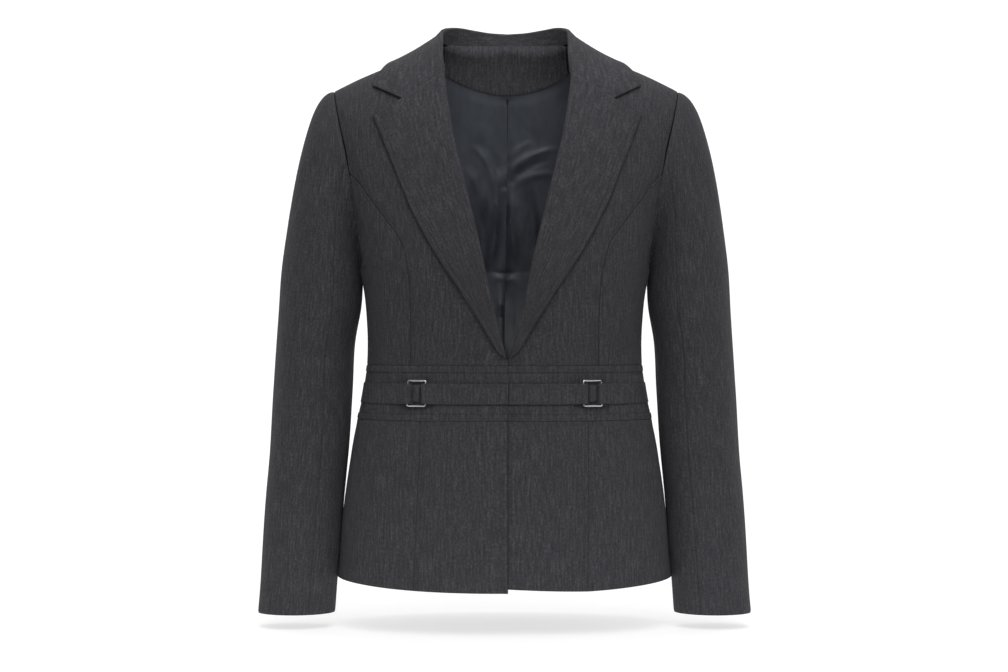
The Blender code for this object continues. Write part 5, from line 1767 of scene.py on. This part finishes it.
# ---------------------------------------------------------------- inside of the back
@dataclass(frozen=True)
class Inside:
    """Back neck facing of cloth and the satin lining hung below it."""

    cloth: float = 0.0015
    gap: float = 0.0018
    slack: float = 0.0025
    facing_foot: Triple = (-0.0535, 0.0095, 0.050)
    facing_half: float = 0.0748
    facing_top: Pair = (0.0004, 0.50)   # height of its upper edge, bow across it
    lining_foot: float = -0.600
    tuck: Pair = (0.0015, 0.0010)       # how far up and how deep the lining is behind the facing
    facing_thickness: float = 0.0010
    lining_thickness: float = 0.0008
    under_seam: float = 0.0010       # the facing turns upright this far under the form's top
    shoulder_gap: float = 0.014      # the lining ends inside the shoulder, armhole and side seams
    armhole_gap: float = 0.006
    side_gap: float = 0.004
    seam: Pair = (0.0018, 0.0016)       # depth and half-width of the lining's middle seam
    folds: Relief = Relief((         # x from the middle, height; a positive height comes into the hollow
        Crease((0.028, -0.107), (-0.001, -0.132), 0.0034, 0.0019, -0.002),
        Crease((0.057, -0.116), (-0.003, -0.148), 0.0041, 0.0034, -0.006),
        Crease((0.050, -0.128), (0.006, -0.156), 0.0039, -0.0018, -0.004),
        Crease((0.058, -0.146), (0.004, -0.160), 0.0046, 0.0016, -0.005),
        Crease((-0.038, -0.114), (-0.012, -0.170), 0.0041, 0.0030, 0.005),
        Crease((-0.026, -0.112), (-0.009, -0.148), 0.0039, -0.0016, 0.003),
        Crease((-0.048, -0.140), (-0.028, -0.190), 0.0057, 0.0019, 0.004),
        Crease((-0.006, -0.164), (0.007, -0.151), 0.0030, -0.0024),
        Crease((-0.013, -0.160), (-0.020, -0.255), 0.0041, 0.0032, 0.004),
        Crease((-0.005, -0.165), (-0.008, -0.262), 0.0034, -0.0019, 0.001),
        Crease((0.005, -0.162), (0.012, -0.250), 0.0041, 0.0027, -0.002),
        Crease((0.008, -0.172), (0.020, -0.224), 0.0030, 0.0018, 0.003),
        Crease((0.026, -0.165), (0.034, -0.260), 0.0064, -0.0018, 0.005),
        Crease((0.036, -0.170), (0.040, -0.270), 0.0057, 0.0022, 0.004),
        Crease((-0.032, -0.185), (-0.030, -0.280), 0.0057, -0.0018, 0.004),
        Crease((-0.013, -0.262), (0.012, -0.264), 0.0036, -0.0013, -0.003),
        Crease((-0.014, -0.272), (0.016, -0.276), 0.0044, 0.0007, 0.003),
        Crease((-0.006, -0.282), (-0.003, -0.360), 0.0046, 0.0019),
        Crease((0.008, -0.285), (0.006, -0.355), 0.0039, -0.0016),
        Crease((0.022, -0.090), (0.034, -0.112), 0.0069, -0.0009),
        Crease((-0.034, -0.085), (-0.030, -0.108), 0.0069, 0.0008),
        Crease((0.055, -0.200), (0.070, -0.330), 0.0103, 0.0024, 0.006),
        Crease((-0.058, -0.190), (-0.075, -0.340), 0.0103, 0.0024, -0.006),
        Crease((0.100, -0.180), (0.105, -0.330), 0.0090, 0.0025, 0.006),
        Crease((-0.100, -0.180), (-0.108, -0.330), 0.0090, 0.0025, 0.006),
        Crease((0.040, -0.400), (0.050, -0.590), 0.0090, 0.0028, 0.004),
        Crease((-0.050, -0.390), (-0.046, -0.590), 0.0090, 0.0028, 0.004),
        Crease((0.110, -0.400), (0.120, -0.590), 0.0100, 0.0028, 0.004),
        Crease((-0.115, -0.400), (-0.118, -0.590), 0.0100, 0.0028, 0.004),
    ), 0.00035)

    def foot(self, x: Array) -> Array:
        """Height of the facing's lower edge: a shallow bowl."""
        low, rise, at = self.facing_foot
        return low + rise * (np.abs(x) / at) ** 2

    def build(self, wardrobe: Wardrobe) -> None:
        """Hang the facing and the two halves of the lining.

        Args:
            wardrobe: the finishes.
        """
        x = np.linspace(-self.facing_half, self.facing_half, 64)[None, :]
        neck_y = FORM.neck[1] * np.sqrt(1 - (x / FORM.neck[0]) ** 2)
        top = self.facing_top[0] - self.facing_top[1] * x**2
        z = self.foot(x) + (top - self.foot(x)) * Spacing(0.0028).shares(0.05)[:, None]
        held = np.minimum(z, FORM.top_z(x, neck_y) - self.under_seam)
        points, normals = FORM.seen(x + 0 * z, held, True)
        upright = ease(0.0, 0.004, z - held)
        normals = unit(normals * np.stack([1 + 0 * z, 1 + 0 * z, 1 - upright], axis=-1))
        points[..., 2] = z
        dip = pressed(z - z[:1], EDGE_DIP)
        outer = points - normals * (self.cloth + self.gap + dip)[..., None]
        grain = np.stack([x + 0 * z + 7.7, z], axis=-1)
        shell = Shell("back_neck_facing", outer, normals, grain, self.facing_thickness)
        hang(shell, wardrobe.facing, shell.name)
        heights = Spacing(0.0022).shares(0.55, low=False)[:, None]
        across = np.sin(np.pi / 2 * np.linspace(0, 1, 90))[None, :] ** (2 / FORM.round_power)
        x = 0.9 * FORM.torso[0][1] * across + 0 * heights
        for _ in range(6):
            top = np.minimum(self.foot(x) + self.tuck[0], FORM.shoulder_z(x) - self.shoulder_gap)
            z = self.lining_foot + (top - self.lining_foot) * heights
            level = np.clip(FORM.level_of(x, z), 0, 1)
            above = smooth(FORM.armhole, 1, level) - self.armhole_gap
            below = smooth(FORM.torso, 1, z) - self.side_gap
            x = (np.where(z > FORM.chest_z, above, below) + LAP) * across - LAP
        for side in Side:
            signed = side.value * x
            points, normals = FORM.seen(signed, z, True)
            hang_in = self.slack * ease(-0.10, -0.25, z)
            folds = self.folds.lift(signed, z)
            folds = folds * (1 - ease(0.97, 1.0, across)) * (1 - ease(0.985, 1.0, heights))
            folds = np.maximum(folds, -0.0010 - 0.8 * hang_in)
            seam = self.seam[0] * np.exp(-((x / self.seam[1]) ** 2)) * (1 - ease(0.984, 0.996, heights))
            behind = self.tuck[1] * ease(0.970, 0.990, heights)
            depth = self.cloth + self.gap + hang_in + folds - seam - behind
            outer = points - normals * depth[..., None]
            grain = np.stack([signed, z], axis=-1)
            name = f"lining_back_{side.word}"
            hang(Shell(name, outer, normals, grain, self.lining_thickness), wardrobe.satin, name, Slot.SATIN)


# ---------------------------------------------------------------- belt and buckles
@dataclass(frozen=True)
class Belt:
    """Four strips, each turned back round a buckle's upright wire, and the two wire frames."""

    top: float = -0.3918
    foot: float = -0.4148
    cloth: float = 0.0015
    rest: float = 0.0023
    edge_reach: float = 0.0008       # how near its edges a strip dips
    side_sink: Triple = (0.0013, 0.112, 0.150)     # nearer the band, between distances
    under_gap: float = 0.0006        # between the left strip and the closing line
    buckle_x: float = 0.0963
    buckle_z: float = -0.4027
    half: Pair = (0.0108, 0.0140)
    wire: float = 0.0012
    buckle_rise: float = 0.0036
    corner: float = 0.0016
    slot_half: float = 0.0055
    loop_end: float = 0.0155
    loop_top: float = 0.0036 + 0.00045 + 0.0012 + 0.0003 + 0.0015

    def loop(self) -> Table:
        """A strip end's outer face from its turned-back tip: step, distance from the slot, rise, way it faces.

        Returns:
            The table's rows.
        """
        top = self.loop_top
        return (
            (0.0, 0.0090, 0.0004, -90.0), (1.0, 0.0024, 0.0004, -90.0), (2.0, 0.0006, 0.0012, -135.0),
            (3.0, 0.0000, 0.0036, 180.0), (4.0, 0.0006, top - 0.0010, 135.0), (5.0, 0.0026, top, 90.0),
            (6.0, 0.0078, top - 0.0003, 84.0), (7.0, self.loop_end, self.rest, 90.0),
        )

    def strips(self, wardrobe: Wardrobe) -> None:
        """Hang the four strips: the loop's profile, then along the band to the closing line or side seam.

        Args:
            wardrobe: the finishes.
        """
        inset = np.array([0.0, 0.0003, 0.0007, 0.0013])
        z = np.concatenate([self.foot + inset, np.linspace(self.foot + 0.0025, self.top - 0.0025, 9),
                            (self.top - inset)[::-1]])[:, None]
        edge_dip = (pressed(z - self.foot, EDGE_DIP, self.edge_reach)
                    + pressed(self.top - z, EDGE_DIP, self.edge_reach))
        steps = np.linspace(0, 7, 57)[:-1]
        away, rise, face = (smooth(self.loop(), k, steps) for k in (1, 2, 3))
        sink, sink_from, sink_to = self.side_sink
        for side in Side:
            edge = FORM.closing + self.under_gap if side is Side.LEFT else -FORM.closing
            for name, way in (("centre", -1.0), ("side", 1.0)):
                slot = self.buckle_x + way * self.slot_half
                near = slot + way * away + 0 * z
                start = slot + way * self.loop_end
                if name == "centre":
                    far = np.linspace(start, edge, 40) + 0 * z
                else:
                    level = z - FORM.chest_z
                    first = FORM.turn_of(start + 0 * z, level)
                    turns = first + (FORM.side_turn - first) * np.linspace(0, 1, 48)
                    far = FORM.half_width(level) * np.sin(turns) ** (2 / FORM.round_power)
                x = np.concatenate([near, far], axis=1)
                points, normals = FORM.place(x, z + 0 * x)
                run = unit(np.cross(normals, [0.0, 0.0, 1.0]))
                run = run * way * np.where(run[..., :1] < 0, -1.0, 1.0)
                lift = np.concatenate([rise, np.full(far.shape[1], self.rest)])
                lift = lift - sink * ease(sink_from, sink_to, x)
                if side is Side.RIGHT:
                    lift = lift + FORM.over_rise(-x, z + 0 * x)
                facing = np.radians(np.concatenate([face, np.full(far.shape[1], 90.0)]))
                out = unit(normals * np.sin(facing)[:, None] + run * np.cos(facing)[:, None])
                outer = points + normals * lift[..., None] + out * edge_dip[..., None]
                grain = np.stack([x + side.value * 1.3, z + 0 * x], axis=-1)
                piece = f"belt_{name}_{side.word}"
                shell = Shell(piece, side.turn_over(outer), side.turn_over(out), grain, self.cloth)
                hang(shell, wardrobe.suiting, piece)

    def frames(self, wardrobe: Wardrobe) -> None:
        """Make the two buckles: a round wire carried along a rounded rectangle on the band.

        Args:
            wardrobe: the finishes.
        """
        angles = np.radians(np.concatenate([start + np.linspace(0, 90, 9) for start in (0, 90, 180, 270)]))
        signs = np.repeat([[1, 1], [-1, 1], [-1, -1], [1, -1]], 9, axis=0)
        flat = np.stack([signs[:, 0] * (self.half[0] - self.corner) + self.corner * np.cos(angles),
                         signs[:, 1] * (self.half[1] - self.corner) + self.corner * np.sin(angles)], axis=-1)
        outwards = np.stack([np.cos(angles), np.sin(angles)], axis=-1)
        point, normal = FORM.seen(np.array([self.buckle_x]), np.array([self.buckle_z]))
        point, normal = point[0], normal[0]
        along = unit(np.cross(normal, [0.0, 0.0, 1.0]))
        along = along * np.sign(along[0])
        up = unit(np.cross(along, normal))
        up = up * np.sign(up[2])
        around = np.linspace(0, 2 * np.pi, 16, endpoint=False)[:, None, None]
        spread = flat[None] + outwards[None] * self.wire * np.cos(around)
        rings = (point + normal * (self.buckle_rise + self.wire * np.sin(around))
                 + spread[..., :1] * along + spread[..., 1:] * up)
        index = np.arange(rings.shape[0] * rings.shape[1]).reshape(rings.shape[:2])
        index = np.concatenate([index, index[:1]], axis=0)
        index = np.concatenate([index, index[:, :1]], axis=1)
        faces = grid_quads(index)
        for side in Side:
            points = side.turn_over(rings.reshape(-1, 3))
            wrong = inside_out(points - point, faces)
            points = FORM.settle(points)
            mesh = bpy.data.meshes.new(f"buckle_{side.word}")
            mesh.from_pydata(points.tolist(), [], (faces[:, ::-1] if wrong else faces).tolist())
            mesh.shade_smooth()
            dressed(f"buckle_{side.word}", mesh, wardrobe.metal, Slot.METAL, f"buckle_{side.word}")

    def build(self, wardrobe: Wardrobe) -> None:
        """Hang the strips and set the buckles."""
        self.strips(wardrobe)
        self.frames(wardrobe)


# ---------------------------------------------------------------- studio
@dataclass(frozen=True)
class Studio:
    """Pale seamless paper, soft light and the camera at the photograph's angle."""

    floor_z: float = -0.670
    distance: float = 2.6
    camera_z: float = -0.339
    frame_width: float = 1.1592      # metres across the picture at the coat's middle
    sensor: float = 36.0
    air_light: float = 0.11          # the air lights the coat this weakly, and is seen white
    paper_front: float = -0.45
    paper_bend: float = 1.2          # where the paper starts to turn up, and the radius of that turn
    paper_top: float = 4.5
    paper_half: float = 5.0
    lamps: tuple[tuple[str, tuple, tuple, float, float], ...] = (    # name, place, aim, side in metres, watts
        ("left_softbox", (-1.8, -1.9, 0.7), (0.0, 0.0, -0.25), 1.3, 4.0),
        ("right_softbox", (1.8, -1.9, 0.7), (0.0, 0.0, -0.25), 1.3, 8.0),
        ("front_softbox", (0.2, -2.75, 0.5), (0.0, 0.0, -0.1), 2.0, 8.0),
        ("top_softbox", (0.1, -1.6, 1.5), (0.0, 0.0, -0.05), 1.5, 33.0),
        ("backdrop", (0.0, 0.6, 2.6), (0.0, 2.0, 0.0), 2.5, 42.0),
    )

    def paper(self) -> None:
        """Make the floor: flat, then a quarter round up into the back wall, as a profile drawn sideways."""
        bend = np.linspace(0, np.pi / 2, 24)
        turn = self.paper_bend
        y = np.concatenate([[self.paper_front, -0.2, turn], turn + turn * np.sin(bend[1:]), [2 * turn]])
        z = np.concatenate([[0.0, 0.0, 0.0], turn * (1 - np.cos(bend[1:])), [self.paper_top]]) + self.floor_z
        x = np.array([-self.paper_half, self.paper_half])
        points = np.stack([x[None, :] + 0 * y[:, None], y[:, None] + 0 * x, z[:, None] + 0 * x], axis=-1)
        index = np.arange(2 * len(y)).reshape(len(y), 2)
        faces = np.stack([index[:-1, 0], index[:-1, 1], index[1:, 1], index[1:, 0]], axis=-1)
        mesh = bpy.data.meshes.new("studio_paper")
        mesh.from_pydata(points.reshape(-1, 3).tolist(), [], faces.tolist())
        mesh.shade_smooth()
        mesh.materials.append(Paper().material())
        paper = bpy.data.objects.new("studio_paper", mesh)
        bpy.context.scene.collection.objects.link(paper)

    def lamp(self, name: str, place: Triple, aim: Triple, size: float,
             power: float) -> None:
        """Hang a square soft light.

        Args:
            name: its name.
            place: where it hangs.
            aim: the point it faces.
            size: side of the square, in metres.
            power: watts.
        """
        light = bpy.data.lights.new(name, "AREA")
        light.size = size
        light.energy = power
        lamp = bpy.data.objects.new(name, light)
        lamp.location = place
        run = np.array(aim) - np.array(place)
        flat = math.hypot(run[0], run[1])
        lamp.rotation_euler = (math.atan2(flat, -run[2]), 0.0, math.atan2(run[1], run[0]) - math.pi / 2)
        bpy.context.scene.collection.objects.link(lamp)

    def build(self) -> None:
        """Lay the paper, hang the lights and set the camera."""
        self.paper()
        world = bpy.data.worlds.new("studio")
        world.use_nodes = True
        tree = world.node_tree
        air = tree.nodes["Background"]
        air.inputs["Color"].default_value = (1.0, 1.0, 1.0, 1.0)
        seen = tree.nodes.new("ShaderNodeMapRange")
        seen.inputs["To Min"].default_value = self.air_light
        tree.links.new(tree.nodes.new("ShaderNodeLightPath").outputs["Is Camera Ray"], seen.inputs["Value"])
        tree.links.new(seen.outputs["Result"], air.inputs["Strength"])
        bpy.context.scene.world = world
        for lamp in self.lamps:
            self.lamp(*lamp)
        data = bpy.data.cameras.new("camera")
        data.sensor_width = self.sensor
        data.lens = self.sensor * self.distance / self.frame_width
        camera = bpy.data.objects.new("camera", data)
        camera.location = (-0.0006, -self.distance, self.camera_z)
        camera.rotation_euler = (math.pi / 2, 0.0, 0.0)
        bpy.context.scene.collection.objects.link(camera)
        bpy.context.scene.camera = camera
        bpy.context.scene.view_settings.view_transform = "Standard"
        LOG.info("studio: camera %.2f m in front", self.distance)


def main() -> None:
    """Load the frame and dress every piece."""
    logging.basicConfig(level=logging.INFO, format="%(name)s: %(message)s")
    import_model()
    # a lighter copy of the suiting for the back neck facing: painted light, as the facing faces down and gets less
    # light
    facing = Suiting("facing_suiting", dark=(0.044, 0.0425, 0.049), middle=(0.077, 0.0745, 0.085),
                     light=(0.150, 0.146, 0.160))
    wardrobe = Wardrobe(Suiting().material(), facing.material(), Satin().material(), BuckleMetal().material(),
                        Thread().material())
    stitching = Stitching()
    Bodice().build(wardrobe, stitching)
    Waistband().build(wardrobe)
    Skirt().build(wardrobe, stitching)
    Sleeves().build(wardrobe)
    Lapels().build(wardrobe, stitching)
    Collar().build(wardrobe, stitching)
    Inside().build(wardrobe)
    Belt().build(wardrobe)
    Studio().build()


if __name__ == "__main__":
    main()
